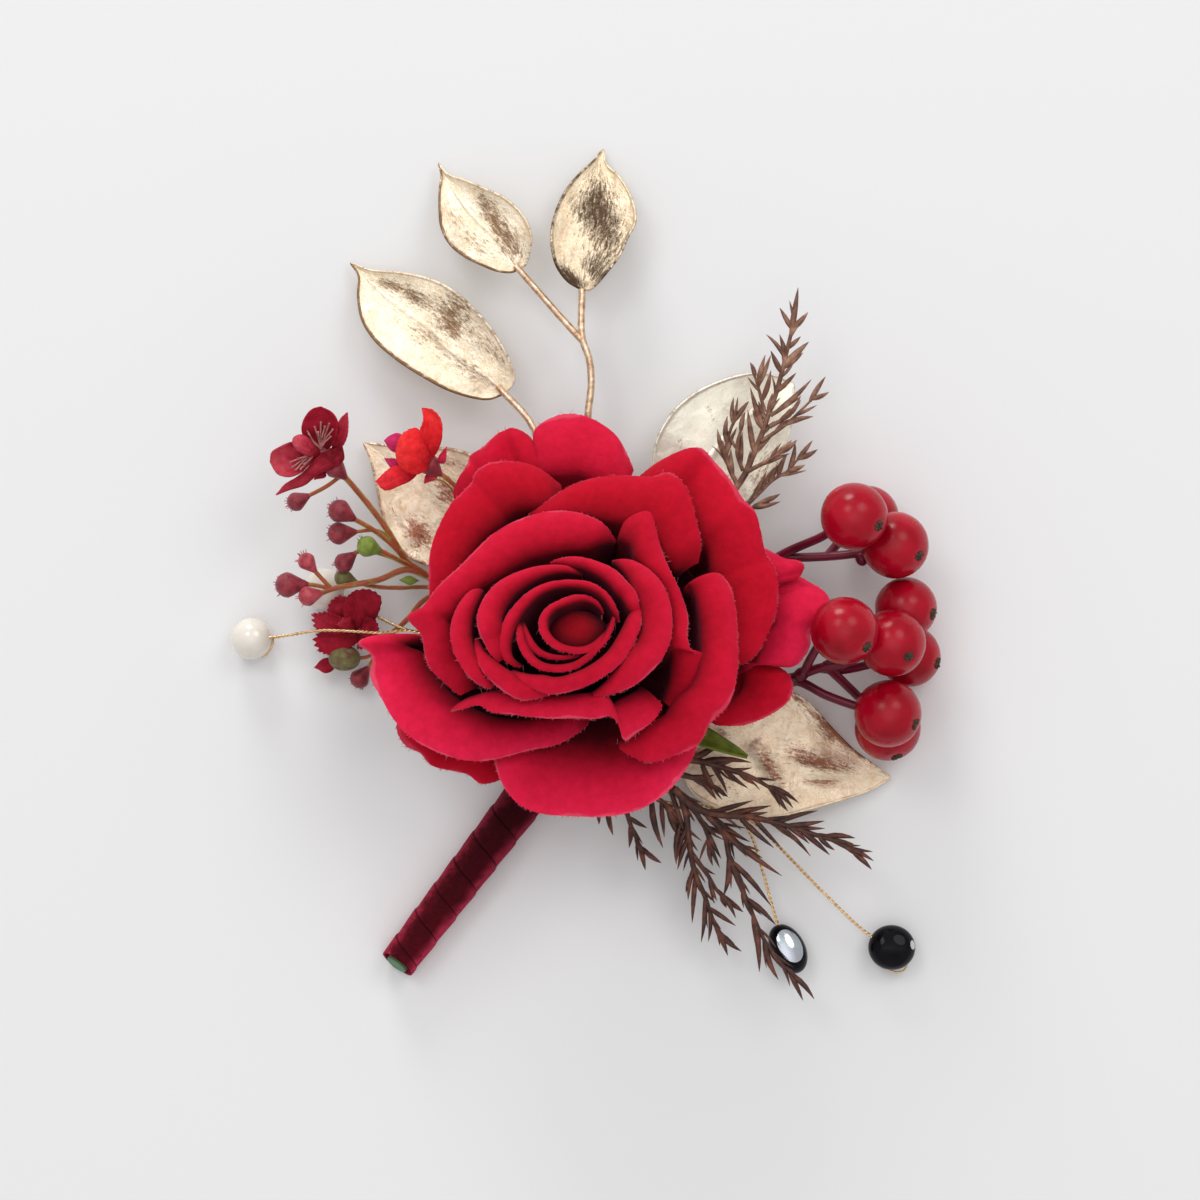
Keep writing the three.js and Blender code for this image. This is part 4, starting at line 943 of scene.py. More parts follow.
def calyx(green):
    foot, top = CALYX_TOP - CUP_DEPTH, CALYX_TOP
    cup = points([  # (radius, height, 0)
        (0.2, foot, 0), (1.9, foot, 0), (2.7, top - 2.4, 0), (3.2, top - 1.2, 0), (3.6, top, 0),
        (0.2, top, 0),
    ])

    def turned(u, v):
        p = smoothed(cup, v)
        return in_rose(p.x * math.cos(TAU * u), p.x * math.sin(TAU * u), p.y)

    bm = bmesh.new()
    spread(bm, 30, 20, turned, (20, 8))
    close(bm)
    for angle, reach, drop in SEPALS:
        spread(bm, 8, 24, sepal_form(angle, reach, drop), (4, reach))
    thicken(finished("rose_sepals", bm, [green], "green_plastic", "rose_calyx"), SEPAL_THICKNESS)


# ---------------------------------------------------------------- gold leaves
CREAM, UMBER = (1.0, 0.86, 0.66), (0.24, 0.13, 0.06)
FOILS = {
    # pale and bronze colour; then, where it isn't 1 and 0.55, how crumpled and how metallic the foil is
    "gold_leaf_top_left": (CREAM, UMBER),
    "gold_leaf_left": (CREAM, UMBER),
    # this leaf's bronze is near black, a darker painted reflection
    "gold_leaf_top_right": ((0.97, 0.80, 0.58), (0.080, 0.040, 0.016)),
    "gold_leaf_behind": ((1.0, 0.85, 0.65), (0.34, 0.095, 0.045)),
    "gold_leaf_upper_right": ((1.0, 0.95, 0.80), (0.36, 0.19, 0.10), 0.35, 0.6),
    "gold_leaf_lower_right": ((1.0, 0.83, 0.62), (0.28, 0.095, 0.050)),
}

LEAF_STEMS = {
    "gold_leaf_left": [*from_knot(118, 6.5), (-5, 22, 7.6), (-4.6, 36, 8), (-5.7, 43.6, 8),
                       (-10.8, 49.6, 7)],
    "gold_leaf_behind_flowers": [*from_knot(122, 1.8), (-6, 17.5, 3.4), (-9.5, 25.5, 4.7)],
    "gold_leaf_upper_right": [*from_knot(77, 1.8), (8.5, 19, 3.4), (15.5, 31, 5)],
    "gold_leaf_lower_right": [*from_knot(-12, 1.8), (11, -2.6, 3.5), (18.5, -3, 5.6)],
}

# Edges run from foot to tip. Heights are the foot's and the tip's, rise arches the leaf, fold lifts its
# edges over its rib, and buckle is the share of its uneven waves. The bronze marks, painted reflections
# of darker surroundings, hold (x, y, half length, half width, direction in degrees, strength), creases the
# same with a height for the strength, and rims how far the two edges are darkened with that painted
# reflection.
LEAVES = {
    "gold_leaf_top_left": {
        "left": [(-7.8, 66.5), (-8.7, 65.9), (-10.8, 66.0), (-13.2, 66.9), (-15.6, 68.1), (-17.7, 69.9),
                 (-18.9, 72.3), (-19.2, 75.0), (-19.2, 78.0), (-19.0, 80.1), (-19.5, 82.0)],
        "right": [(-7.8, 66.5), (-6.9, 66.9), (-6.3, 68.7), (-6.0, 70.8), (-6.6, 72.9), (-7.8, 74.7),
                  (-9.9, 76.5), (-12.6, 77.8), (-15.6, 79.2), (-18.2, 80.3), (-19.5, 82.0)],
        "heights": (7, 1.2), "rise": 1.8, "fold": 1.3,
        "node": "gold_spray_top", "seed": 1, "rims": (1.3, 0.3),
        "painted_reflections": [(-9.4, 70.5, 4.6, 1.9, -58, 1.0), (-12.4, 76.2, 2.6, 1.2, -42, 0.7),
                   (-17.1, 73.9, 2.2, 1.4, -49, 0.6), (-14.1, 69.9, 3.2, 1.4, -43, 0.7),
                   (-11.7, 73.4, 3.0, 1.0, -50, 0.6)],
    },
    "gold_leaf_top_right": {
        "left": [(1.3, 63.3), (-0.8, 64.5), (-2.4, 66.6), (-3.1, 69.0), (-3.2, 71.7), (-2.5, 74.7),
                 (-1.1, 77.7), (0.7, 80.0), (2.8, 82.1), (4.2, 84.0)],
        "right": [(1.3, 63.3), (2.5, 63.5), (4.9, 66.0), (6.7, 68.4), (7.6, 70.5), (8.8, 72.9), (8.8, 74.7),
                  (7.9, 77.4), (6.4, 79.8), (4.7, 81.6), (4.2, 84.0)],
        "heights": (7, 1.2), "rise": 1.8, "fold": 1.5,
        "node": "gold_spray_top", "seed": 2, "rims": (0.9, 0.2),
        "painted_reflections": [(3.3, 76.7, 4.4, 2.4, -94, 1.0), (4.9, 71.3, 5.0, 2.9, -84, 1.05),
                   (3.2, 65.9, 2.8, 1.7, -54, 1.0), (0.5, 74.8, 2.7, 1.8, -74, 0.55),
                   (-0.8, 65.5, 2.6, 0.9, -46, 1.1), (-0.2, 64.7, 1.8, 0.8, -31, 0.8)],
    },
    "gold_leaf_left": {
        "left": [(-9.9, 48.6), (-12.0, 47.8), (-14.4, 48.0), (-18.0, 49.1), (-21.9, 51.2), (-25.5, 53.6),
                 (-28.5, 56.3), (-30.3, 59.3), (-30.9, 62.6), (-30.9, 65.7), (-32.2, 67.7)],
        "right": [(-9.9, 48.6), (-8.5, 50.3), (-8.7, 52.1), (-9.9, 54.8), (-12.0, 58.1), (-15.0, 61.4),
                  (-18.0, 63.8), (-21.3, 65.2), (-25.2, 66.0), (-29.3, 66.5), (-32.2, 67.7)],
        "heights": (6.5, 1.2), "rise": 2.4, "fold": 1.5,
        "node": "gold_leaf_left", "seed": 3, "rims": (1.6, 0.3),
        "painted_reflections": [(-26.5, 64.3, 2.4, 0.9, -15, 0.9), (-22.8, 62.6, 2.8, 1.2, -28, 0.95),
                   (-17.1, 60.4, 3.4, 2.2, -23, 0.9), (-17.6, 57.9, 2.2, 1.4, -41, 1.0),
                   (-21.4, 56.8, 3.0, 1.6, -34, 0.65), (-15.3, 52.1, 4.4, 1.5, -32, 0.7),
                   (-12.6, 55.8, 3.0, 1.6, -40, 0.6), (-10.2, 52.7, 2.0, 0.9, -63, 0.45),
                   (-16.8, 62.0, 1.7, 0.9, -45, 0.3)],
        "creases": [(-16.3, 53.7, 5.5, 0.35, -38, 0.22)],
    },
    "gold_leaf_behind": {
        "left": [(-7, 23.5), (-13, 21.5), (-20.6, 24), (-23.5, 25.2), (-26, 27.7), (-27.5, 31.6),
                 (-28.3, 35.6), (-29.2, 39.3), (-30.3, 41.8)],
        "right": [(-7, 23.5), (-6, 29), (-9.5, 36), (-15.3, 40.2), (-19.6, 41), (-26.6, 41.3),
                  (-30.3, 41.8)],
        "heights": (4.2, 1.5), "rise": 1, "fold": 1,
        "node": "gold_leaf_behind_flowers", "seed": 4, "rims": (0.9, 0.7),
        "painted_reflections": [(-22.2, 28.7, 2.6, 1.9, -57, 1.34), (-17.9, 34.5, 2.6, 1.9, -52, 1.16),
                   (-26.1, 32.5, 1.4, 0.8, -63, 0.56), (-17.1, 38.8, 1.6, 0.9, -24, 0.68)],
        "creases": [(-24.6, 31.0, 4.5, 0.8, -57, 0.35), (-19.2, 31.5, 5.0, 1.0, -57, -0.4)],
    },
    "gold_leaf_upper_right": {
        "left": [(14, 28), (11.3, 34), (11.3, 38.8), (11.9, 42.2), (14.2, 46.1), (17.3, 48.7), (20.1, 50.1),
                 (23.1, 51.1), (27, 51.6), (31.5, 50.2)],
        "right": [(14, 28), (19, 29), (25, 33.5), (29.5, 39.5), (31.2, 45), (31.5, 50.2)],
        "heights": (4.5, 4), "rise": 1.5, "fold": 1,
        "node": "gold_leaf_upper_right", "seed": 5, "rims": (0.45, 0.3),
        "painted_reflections": [(15.2, 41.9, 0.8, 0.4, -76, 0.8), (19.4, 46.1, 1.8, 0.4, -66, 0.6),
                   (26.8, 38.0, 3.8, 1.6, 58, 0.75)],
        "buckle": 0.3,
    },
    "gold_leaf_lower_right": {
        "left": [(15.5, -3), (17, 2), (21, 5.6), (26, 7.4), (31.2, 6.0), (33.6, 4.5), (36.9, 0.9),
                 (40.2, -2.4), (42.9, -4.4), (45.6, -6.4)],
        "right": [(15.5, -3), (16.4, -7.6), (20.5, -10.6), (26.4, -11.8), (29.4, -11.9), (33.9, -10.8),
                  (38.4, -9.5), (42.6, -8.1), (45.6, -6.4)],
        "heights": (5.5, 1), "rise": 1, "fold": 0.6,
        "node": "gold_leaf_lower_right", "seed": 6, "rims": (0.4, 0.15),
        "painted_reflections": [(37.3, 0.2, 6.6, 0.6, -41, 1.35), (36.7, -0.7, 3.8, 0.7, -42, 0.8),
                   (28.0, -4.7, 4.1, 0.9, -57, 1.22), (35.8, -4.3, 5.1, 1.0, -11, 1.22),
                   (35.8, -6.9, 2.6, 0.5, 0, 1.1), (32.4, -2.5, 3.2, 1.2, -19, 0.56),
                   (21.2, 0.2, 1.2, 0.6, -40, 1.04), (21.8, -7.8, 1.8, 1.2, -31, 0.62),
                   (31.9, 5.1, 1.0, 0.4, -39, 0.92)],
        "creases": [(27.8, -4.5, 4.7, 1.0, -55, 0.8), (35.8, -3.9, 5.4, 1.2, -13, 0.6),
                    (35.8, -6.8, 3.5, 0.7, -7, -0.5), (36.9, -0.3, 6.0, 1.8, -41, -0.4)],
    },
}


def marks(x, y, rows):
    """Sum of soft oval marks at a point."""
    total = 0.0
    for middle_x, middle_y, long, wide, angle, strength in rows:
        c, s = math.cos(math.radians(angle)), math.sin(math.radians(angle))
        ahead = (x - middle_x) * c + (y - middle_y) * s
        aside = (y - middle_y) * c - (x - middle_x) * s
        total += strength * bell(ahead, 0, long) * bell(aside, 0, wide)
    return total


def panel(left, right, heights, rise=0.0, fold=0.0, teeth=0.0, seed=0, count=96):
    """place(u, v) of a thin sheet between two edges that are drawn from its foot to its tip."""
    edges = [along(points(rows), count) for rows in (right, left)]
    foot = Vector(left[0])

    def place(u, v):
        k = min(int(v * count), count - 1)
        a, b = (edge[k].lerp(edge[k + 1], v * count - k) for edge in edges)
        side = 2 * u - 1
        p = a.lerp(b, u)
        if teeth:
            saw = 1 - 2 * abs((v * 11 + seed * 0.37 + (0.5 if u > 0.5 else 0)) % 1 - 0.5)
            p += (p - foot).normalized() * teeth * saw * side**4 * min(1, 3 * v)
        swell = math.sin(math.pi * v)
        height = heights[0] + (heights[1] - heights[0]) * v + rise * swell + fold * side * side * swell
        return Vector((p.x, p.y, height))

    return place


def gold_leaf(name, left, right, heights, rise, fold, node, seed, rims, painted_reflections, creases=(), buckle=1.0):
    """A foil leaf with a raised rib, a thickened rim, waves and creases."""
    flat = panel(left, right, heights, rise, fold)
    length = (Vector(left[-1]) - Vector(left[0])).length
    width = max((flat(0, t) - flat(1, t)).length for t in (0.3, 0.5, 0.7))

    def place(u, v):
        p = flat(u, v)
        side = 2 * u - 1
        swell = min(1, 8 * math.sin(math.pi * v))
        rim = 0.30 * max(0.0, (abs(side) - 0.93) / 0.07) ** 2 * swell
        rib = 0.20 * bell(side, 0, 0.05) * (1 - v) ** 0.7
        broad = noise.noise((p.x * 0.30, p.y * 0.30, seed)) * 0.35
        fine = noise.noise((p.x, p.y, seed + 5)) * 0.06
        uneven = buckle * (broad + fine) + marks(p.x, p.y, creases)
        p.z += rim + rib + uneven * min(1, 3 * math.sin(math.pi * v))
        return p

    # painted reflection: the listed bronze marks, and a darkening along both edges
    def painted_reflection(u, v):
        p = flat(u, v)
        edge = max(0.0, (abs(2 * u - 1) - 0.90) / 0.10) ** 1.5
        return marks(p.x, p.y, painted_reflections) + rims[0 if u > 0.5 else 1] * edge * min(1, 1.3 - 0.5 * v)

    bm = bmesh.new()
    spread(bm, 72, 96, place, (width, length), tag="painted_reflection", tag_of=painted_reflection)
    bmesh.ops.remove_doubles(bm, verts=bm.verts, dist=0.01)
    foil = gold_foil(name.replace("gold_leaf", "foil"), *FOILS[name])
    thicken(finished(f"{name}_blade", bm, [foil], "gold_leaf", node), FOIL_THICKNESS)


def gold_leaves(gold):
    for name, habit in LEAVES.items():
        gold_leaf(name, **habit)
    bm = bmesh.new()
    main = [
        *from_knot(99, 1.8), (0.8, 20, 4.5), (1.6, 34, 7), (2, 45.2, 8), (2.5, 50, 8), (2.2, 53.5, 8),
        (1.2, 56.5, 8), (1.2, 63.5, 7.3),
    ]
    fork = [(1.4, 55.9, 8), (-1.4, 58.9, 7.9), (-4.2, 62.1, 7.6), (-8.3, 66.8, 7.3)]
    add_stems(bm, [stem_route(main, 0.6, 60, 0.5), stem_route(fork, 0.52, 20, 0.45)], 3)
    finished("gold_stems_top", bm, [gold], "gold_leaf", "gold_spray_top")
    for name, rows in LEAF_STEMS.items():
        bm = bmesh.new()
        add_stems(bm, [stem_route(rows, 0.58, 30, 0.5)], 3)
        finished(f"{name}_stem", bm, [gold], "gold_leaf", name)


# ---------------------------------------------------------------- berries
# Stalks are routes from the knot or a fork, the thickest first. Berries hold (middle, where the flower end
# points, radius) and knobs, where stalks fork, (middle, radius, direction).
BERRIES = {
    "berry_cluster_upper": {
        "stalks": [
            [*from_knot(32, 1.8), (14, 11.5, 3.5), (22, 19.5, 6), (29, 25.2, 8), (35.3, 28.2, 13),
             (38.6, 30.4, 16.5)],
            [(29, 25.2, 8), (32, 25.2, 8.5), (38, 25.5, 9), (43, 26.2, 10.5)],
            [(36, 25.3, 8.8), (38, 27.5, 6.5), (40.5, 29.5, 5.2)],
        ],
        "berries": [
            ((39.4, 30.9, 18.2), (42.5, 29.6, 21), 4.75), ((45.5, 26.9, 12.5), (48.2, 25.6, 15), 4.75),
            ((42.0, 31.0, 4.75), (46.4, 33.4, 2.6), 4.5),
        ],
        "knobs": [((40.9, 25.1, 9.7), 0.92, (0.2, -1, 0.2)), ((29.3, 25.1, 8.0), 0.85, (1, 0, 0.2))],
    },
    "berry_cluster_lower": {
        "stalks": [
            [*from_knot(12, 6.5), (15, 3.4, 7), (23, 6.0, 8.5), (30.2, 7.8, 9.5), (32.4, 8.8, 10.6),
             (33.5, 10.9, 13.4), (34.7, 13.0, 16.4), (36.6, 14.3, 18.6)],
            [(32.4, 8.6, 10.4), (34.8, 9.5, 11.5), (38.0, 10.1, 12.6), (42.5, 12.2, 14.5)],
            [(35.6, 9.8, 11.8), (40.4, 12.5, 9.5), (44.5, 16, 9.3)],
            [(34.8, 9.5, 11.4), (38, 9.2, 9), (45, 10.6, 6)],
            [(30.2, 7.8, 9.5), (32.2, 7.5, 10), (35.7, 5.7, 11.2), (39.5, 4.3, 12.2), (42, 3.6, 13)],
            [(36.0, 9.6, 11.6), (38.3, 7.5, 9.5), (40.5, 5.4, 7.8), (43, 2.8, 5.8)],
        ],
        "berries": [
            ((37.9, 14.9, 20.5), (40.8, 12.7, 23), 4.75), ((44.9, 13.1, 15.5), (46.9, 11.3, 19), 4.75),
            ((47.2, 18, 9.6), (50.8, 17.2, 11.5), 4.4), ((48.1, 11.1, 4.5), (51.5, 10.3, 6), 4.4),
            ((44.4, 3.1, 13.7), (48.1, 1.8, 16), 4.75), ((44.9, 0.9, 4.75), (46, -3, 6.3), 4.75),
        ],
        "knobs": [((32.3, 8.6, 10.5), 1.0, (0.7, 0.5, 0.5)), ((31.0, 7.8, 9.8), 1.0, (1, 0, 0.2))],
    },
}


def berries(skin, star, stalk):
    for name, cluster in BERRIES.items():
        bm = bmesh.new()
        radii = [0.85] + [0.68] * (len(cluster["stalks"]) - 1)
        stalks = [stem_route(rows, radius, 40, 0.6) for rows, radius in zip(cluster["stalks"], radii)]
        add_stems(bm, stalks, 3)
        for centre, size, way in cluster["knobs"]:
            add_ball(bm, centre, size, lambda p: Vector((p.x, p.y, p.z * 1.25)), way, 20, 14)
        finished(f"{name}_stalks", bm, [stalk], "berry_stalk", name)
        bm = bmesh.new()
        for k, (centre, tip, radius) in enumerate(cluster["berries"]):
            way = (Vector(tip) - Vector(centre)).normalized()
            add_ball(bm, centre, radius, lambda p: plump(p, k), way, 48, 32)
            add_star(bm, Vector(centre) + way * (radius * 0.955), way, k)
        finished(f"{name}_fruit", bm, [skin, star], "berry_gloss", name)


def plump(p, seed):
    """Moves a ball's point: a dimple at the flower end, a swelling at the stalk and a slight unevenness."""
    polar = p.angle(UP)
    dimple = 1 - 0.05 * bell(polar, 0, 0.22) + 0.035 * bell(polar, math.pi, 0.35)
    return p * dimple * (1 + 0.010 * noise.noise(p * 0.35 + Vector((seed, 0, 0))))


def add_star(bm, foot, way, seed):
    """The dried flower end of a berry: a knobby, uneven disc of small lobes, raised in its middle."""
    before = len(bm.faces)
    made = bmesh.ops.create_cone(
        bm, cap_ends=True, cap_tris=True, segments=48, radius1=0.80, radius2=0.66, depth=0.40,
        matrix=Matrix.Identity(4),
    )["verts"]
    for vert in made:
        turn = math.atan2(vert.co.y, vert.co.x)
        lobes = math.cos(7 * turn + seed)
        if math.hypot(vert.co.x, vert.co.y) > 0.01:
            ragged = noise.noise((2.2 * math.cos(turn), 2.2 * math.sin(turn), 3.1 * seed))
            wide = 1 + 0.11 * lobes + 0.06 * math.cos(16 * turn) + 0.34 * ragged
            vert.co.x *= wide
            vert.co.y *= wide
            if vert.co.z > 0:
                vert.co.z += 0.12 * lobes + 0.2 * ragged
        elif vert.co.z > 0:
            vert.co.z += 0.14
    bmesh.ops.transform(bm, matrix=facing(way, foot), verts=made)
    paint(bm, before, 1)


# ---------------------------------------------------------------- brown sprigs
SPRIGS = {
    # twigs hold (radius, points); needles hold (foot x, foot y, tip x, tip y, width where it isn't 1)
    "brown_sprig_upper": {
        "twigs": [
            (0.42, [(23.0, 35.0, 10.6), (24.2, 36.8, 10.7), (25.4, 39.6, 10.8), (26.6, 42.4, 10.9),
                    (27.6, 45.4, 11.0), (28.8, 48.8, 11.2), (29.7, 52.2, 11.3), (30.5, 55.6, 11.4),
                    (31.1, 58.3, 11.5), (31.6, 61.7, 11.6)]),
            (0.26, [(27.1, 45.7, 11.4), (26.1, 49.4, 11.7), (25.4, 51.6, 11.9)]),
            (0.28, [(27.9, 45.3, 11.3), (30.6, 47.0, 11.2), (32.0, 48.5, 11.0)]),
            (0.28, [(27.8, 43.7, 11.2), (30.6, 45.4, 11.6), (32.0, 47.2, 12.0)]),
            (0.28, [(26.6, 41.6, 11.2), (30.3, 44.2, 11.3), (32.5, 46.3, 11.5), (33.8, 47.6, 11.6)]),
            (0.3, [(24.5, 37.3, 11.0), (27.8, 39.1, 11.4), (30.9, 41.4, 11.8)]),
            (0.28, [(24.2, 32.3, 9.6), (26.1, 34.1, 9.8), (28.2, 36.1, 9.9), (30.4, 37.5, 10.0),
                    (31.9, 39.2, 10.2)]),
            (0.3, [(23.3, 35.3, 10.6), (21.9, 38.4, 10.8), (21.7, 41.1, 11.1), (22.5, 43.9, 11.3),
                   (24.6, 47.0, 11.6)]),
            (0.26, [(24.0, 37.5, 10.8), (23.1, 40.2, 11.4), (23.8, 43.6, 11.9)]),
            (0.26, [(24.8, 31.9, 9.6), (27.3, 33.5, 9.8)]),
        ],
        "needles": [
            (30.6, 57.1, 31.8, 63.4, 1.2), (30.4, 57.5, 29.2, 60.5), (31.2, 57.7, 33.2, 59.9, 1.1),
            (29.8, 52.8, 29.2, 56.8), (29.1, 51.3, 27.9, 54.4), (28.0, 53.8, 27.3, 56.8),
            (30.6, 54.5, 32.2, 56.5), (29.8, 51.9, 33.3, 55.7, 1.4), (30.2, 51.7, 32.5, 54.2),
            (26.2, 49.3, 27.1, 53.8), (25.7, 50.7, 25.0, 52.8), (27.3, 49.8, 27.9, 53.8),
            (26.6, 47.3, 27.9, 51.6), (29.3, 48.4, 31.5, 51.3), (28.5, 45.9, 33.7, 50.4, 1.1),
            (29.1, 46.1, 32.2, 47.9), (29.1, 44.5, 32.2, 47.5, 1.2), (29.4, 44.4, 30.9, 46.1),
            (33.6, 47.3, 35.7, 50.8), (33.9, 47.5, 36.2, 48.6), (30.6, 43.3, 33.9, 45.1),
            (28.5, 43.0, 30.6, 44.8), (27.9, 40.8, 30.9, 41.8), (29.1, 39.9, 31.6, 41.8, 1.2),
            (26.6, 37.8, 30.6, 39.9), (31.7, 39.0, 33.9, 41.8), (32.0, 39.2, 34.6, 40.5),
            (30.5, 37.4, 32.8, 38.3), (29.1, 36.5, 30.3, 39.9), (30.0, 38.1, 31.4, 41.5),
            (27.9, 35.6, 29.1, 38.4), (24.5, 33.8, 27.4, 37.5), (25.4, 32.2, 28.6, 33.9, 1.2),
            (26.6, 32.8, 29.3, 34.2), (26.0, 31.2, 29.3, 33.1), (25.7, 31.9, 27.9, 32.5),
            (26.3, 43.3, 25.4, 46.1), (26.0, 43.9, 25.0, 49.2, 1.1), (22.6, 44.2, 22.7, 47.9),
            (22.9, 44.8, 24.8, 47.3), (21.9, 41.5, 21.8, 45.2), (21.1, 39.0, 20.4, 43.4, 1.1),
            (21.7, 38.1, 21.1, 41.8), (21.7, 39.9, 22.9, 43.0), (24.5, 40.2, 24.7, 46.1, 1.1),
            (24.2, 38.4, 23.9, 43.0), (23.9, 43.0, 24.3, 45.8), (23.1, 39.9, 23.6, 43.3),
            (22.9, 36.8, 22.3, 40.5), (25.4, 39.9, 24.8, 43.0), (26.9, 44.8, 26.2, 47.3),
            (27.6, 45.5, 28.2, 48.5), (26.6, 42.4, 28.5, 44.5), (25.7, 40.2, 27.9, 42.1),
        ],
    },
    "brown_sprigs_lower": {
        "twigs": [
            (0.5, [(14.3, -7.7, 8.8), (17.3, -10.4, 8.9), (20.9, -11.4, 8.9), (25.1, -11.7, 9.0),
                   (30.2, -12.9, 9.0), (34.6, -14.3, 9.1), (37.6, -15.3, 9.1), (39.7, -16.7, 9.2)]),
            (0.44, [(16.4, -3.5, 10.0), (19.1, -4.0, 10.0), (22.0, -4.9, 10.0), (25.0, -5.9, 10.0),
                    (27.7, -7.4, 10.0), (29.1, -8.4, 10.0)]),
            (0.4, [(15.2, -5.6, 9.6), (19.1, -6.8, 9.6), (21.5, -8.6, 9.6)]),
            (0.46, [(15.2, -8.6, 8.4), (16.0, -11.3, 8.0), (16.3, -14.1, 7.5), (16.7, -17.1, 7.1),
                    (17.3, -19.8, 6.6), (18.7, -23.1, 6.2), (19.5, -25.6, 5.7), (20.4, -27.7, 5.2),
                    (21.9, -29.5, 4.8)]),
            (0.34, [(16.7, -16.8, 7.0), (19.1, -20.1, 6.7), (20.6, -22.5, 6.3), (22.2, -24.1, 6.0)]),
            (0.34, [(17.6, -11.4, 7.8), (19.0, -14.1, 7.4), (19.2, -16.8, 7.0)]),
            (0.4, [(19.1, -11.6, 8.6), (21.5, -14.3, 8.5), (22.1, -17.3, 8.4), (23.3, -20.6, 8.4),
                   (24.8, -23.9, 8.3), (26.0, -26.9, 8.2), (27.5, -29.9, 8.2), (29.3, -32.3, 8.1),
                   (31.1, -34.4, 8.0)]),
            (0.36, [(19.1, -11.3, 8.2), (21.5, -13.1, 7.9), (23.3, -15.3, 7.7), (26.0, -17.1, 7.4)]),
            (0.34, [(7.4, -10.5, 6.8), (8.2, -13.2, 6.7), (9.5, -15.9, 6.5), (10.5, -17.1, 6.4)]),
            (0.36, [(11.3, -8.7, 7.6), (13.7, -10.5, 7.5), (15.5, -12.9, 7.3), (15.8, -14.7, 7.2)]),
            (0.34, [(12.2, -8.7, 7.4), (9.8, -9.3, 7.1), (7.4, -9.9, 6.8), (4.9, -10.4, 6.5),
                    (3.2, -10.5, 6.2)]),
        ],
        "needles": [
            (19.1, -11.2, 25.5, -9.4, 1.1), (21.5, -11.3, 28.1, -10.1, 1.2), (23.3, -11.7, 27.6, -11.0),
            (26.9, -12.0, 31.1, -11.4), (28.7, -12.5, 34.7, -10.8, 1.2), (30.2, -13.0, 35.6, -12.2, 1.1),
            (31.1, -13.2, 35.7, -13.3), (35.3, -14.6, 40.0, -14.7, 1.2), (36.8, -15.2, 39.8, -15.5),
            (38.3, -16.0, 42.5, -16.6), (39.2, -16.6, 42.6, -17.9), (39.5, -16.7, 42.3, -19.1, 1.1),
            (21.5, -12.2, 25.1, -15.3), (23.3, -12.8, 28.4, -16.0, 1.1), (25.1, -13.1, 29.4, -15.9),
            (27.2, -13.7, 33.7, -17.3, 1.2), (30.2, -13.8, 33.5, -15.5), (32.0, -14.2, 36.4, -17.1, 1.2),
            (19.1, -12.2, 21.5, -14.8), (34.7, -14.5, 37.1, -16.4), (16.7, -3.2, 21.6, -0.6, 1.3),
            (18.5, -3.5, 25.2, -3.9, 1.2), (20.3, -4.2, 23.4, -3.4), (20.9, -4.8, 24.7, -7.5),
            (19.1, -5.3, 21.8, -8.3), (17.9, -4.8, 20.3, -7.7, 1.2), (23.3, -5.5, 26.0, -7.1),
            (27.5, -7.3, 32.0, -9.7, 1.1), (28.1, -7.7, 31.1, -10.3), (28.5, -8.1, 30.4, -10.8),
            (20.3, -6.4, 21.9, -8.8), (16.7, -6.5, 20.0, -7.8), (16.1, -6.2, 19.1, -5.6),
            (17.9, -7.1, 20.3, -9.2), (16.7, -14.6, 14.8, -19.2), (16.3, -12.8, 14.7, -17.9),
            (17.3, -20.0, 16.9, -27.0, 1.2), (16.4, -20.0, 16.0, -22.6), (17.0, -18.8, 16.3, -23.6),
            (18.5, -23.0, 18.2, -29.7, 1.1), (19.1, -25.4, 19.2, -29.6), (18.9, -24.7, 23.1, -27.3),
            (20.3, -27.5, 22.0, -31.7, 1.2), (20.7, -28.0, 24.0, -31.1, 1.1), (21.2, -28.6, 23.0, -30.1),
            (19.1, -20.6, 20.4, -23.7), (20.3, -22.1, 23.1, -26.2, 1.1), (21.5, -23.6, 24.2, -25.4, 1.1),
            (20.9, -23.0, 21.8, -24.8), (17.3, -19.4, 19.1, -23.6), (18.6, -12.8, 21.0, -17.7, 1.1),
            (18.9, -15.2, 20.8, -19.0), (19.1, -15.8, 19.8, -18.7), (18.9, -12.8, 21.8, -14.6),
            (17.9, -11.9, 20.3, -14.3), (21.8, -17.0, 21.3, -23.0, 1.3), (22.4, -17.5, 28.1, -24.4, 1.2),
            (24.5, -23.5, 28.7, -27.0, 1.1), (25.7, -26.6, 26.4, -33.7, 1.2), (25.4, -25.4, 26.0, -30.5),
            (27.2, -29.5, 29.1, -34.8, 1.2), (27.8, -30.2, 30.2, -33.5), (29.9, -32.9, 32.3, -35.6),
            (30.6, -34.0, 34.2, -37.6, 1.2), (30.6, -34.1, 32.6, -37.8, 1.1), (23.9, -22.1, 25.4, -26.0),
            (23.0, -18.5, 24.5, -22.4), (21.5, -14.0, 29.6, -20.1, 1.3), (20.3, -13.1, 24.6, -17.3, 1.1),
            (23.3, -15.2, 26.9, -17.6), (7.8, -12.8, 7.9, -16.2), (9.5, -15.8, 10.2, -19.3, 1.1),
            (10.0, -16.5, 12.5, -18.4, 1.1), (8.3, -11.6, 10.5, -13.4), (9.7, -16.0, 11.5, -17.6),
            (9.1, -14.6, 10.1, -17.0), (4.9, -10.4, 5.6, -14.4, 1.2), (4.6, -10.4, 5.0, -13.4),
            (3.3, -10.4, 3.6, -12.9), (11.3, -9.8, 12.7, -16.1, 1.3), (11.9, -10.4, 12.9, -14.6),
            (11.0, -9.8, 12.0, -15.1), (13.3, -10.4, 15.6, -15.3, 1.2), (14.3, -10.4, 15.3, -14.6),
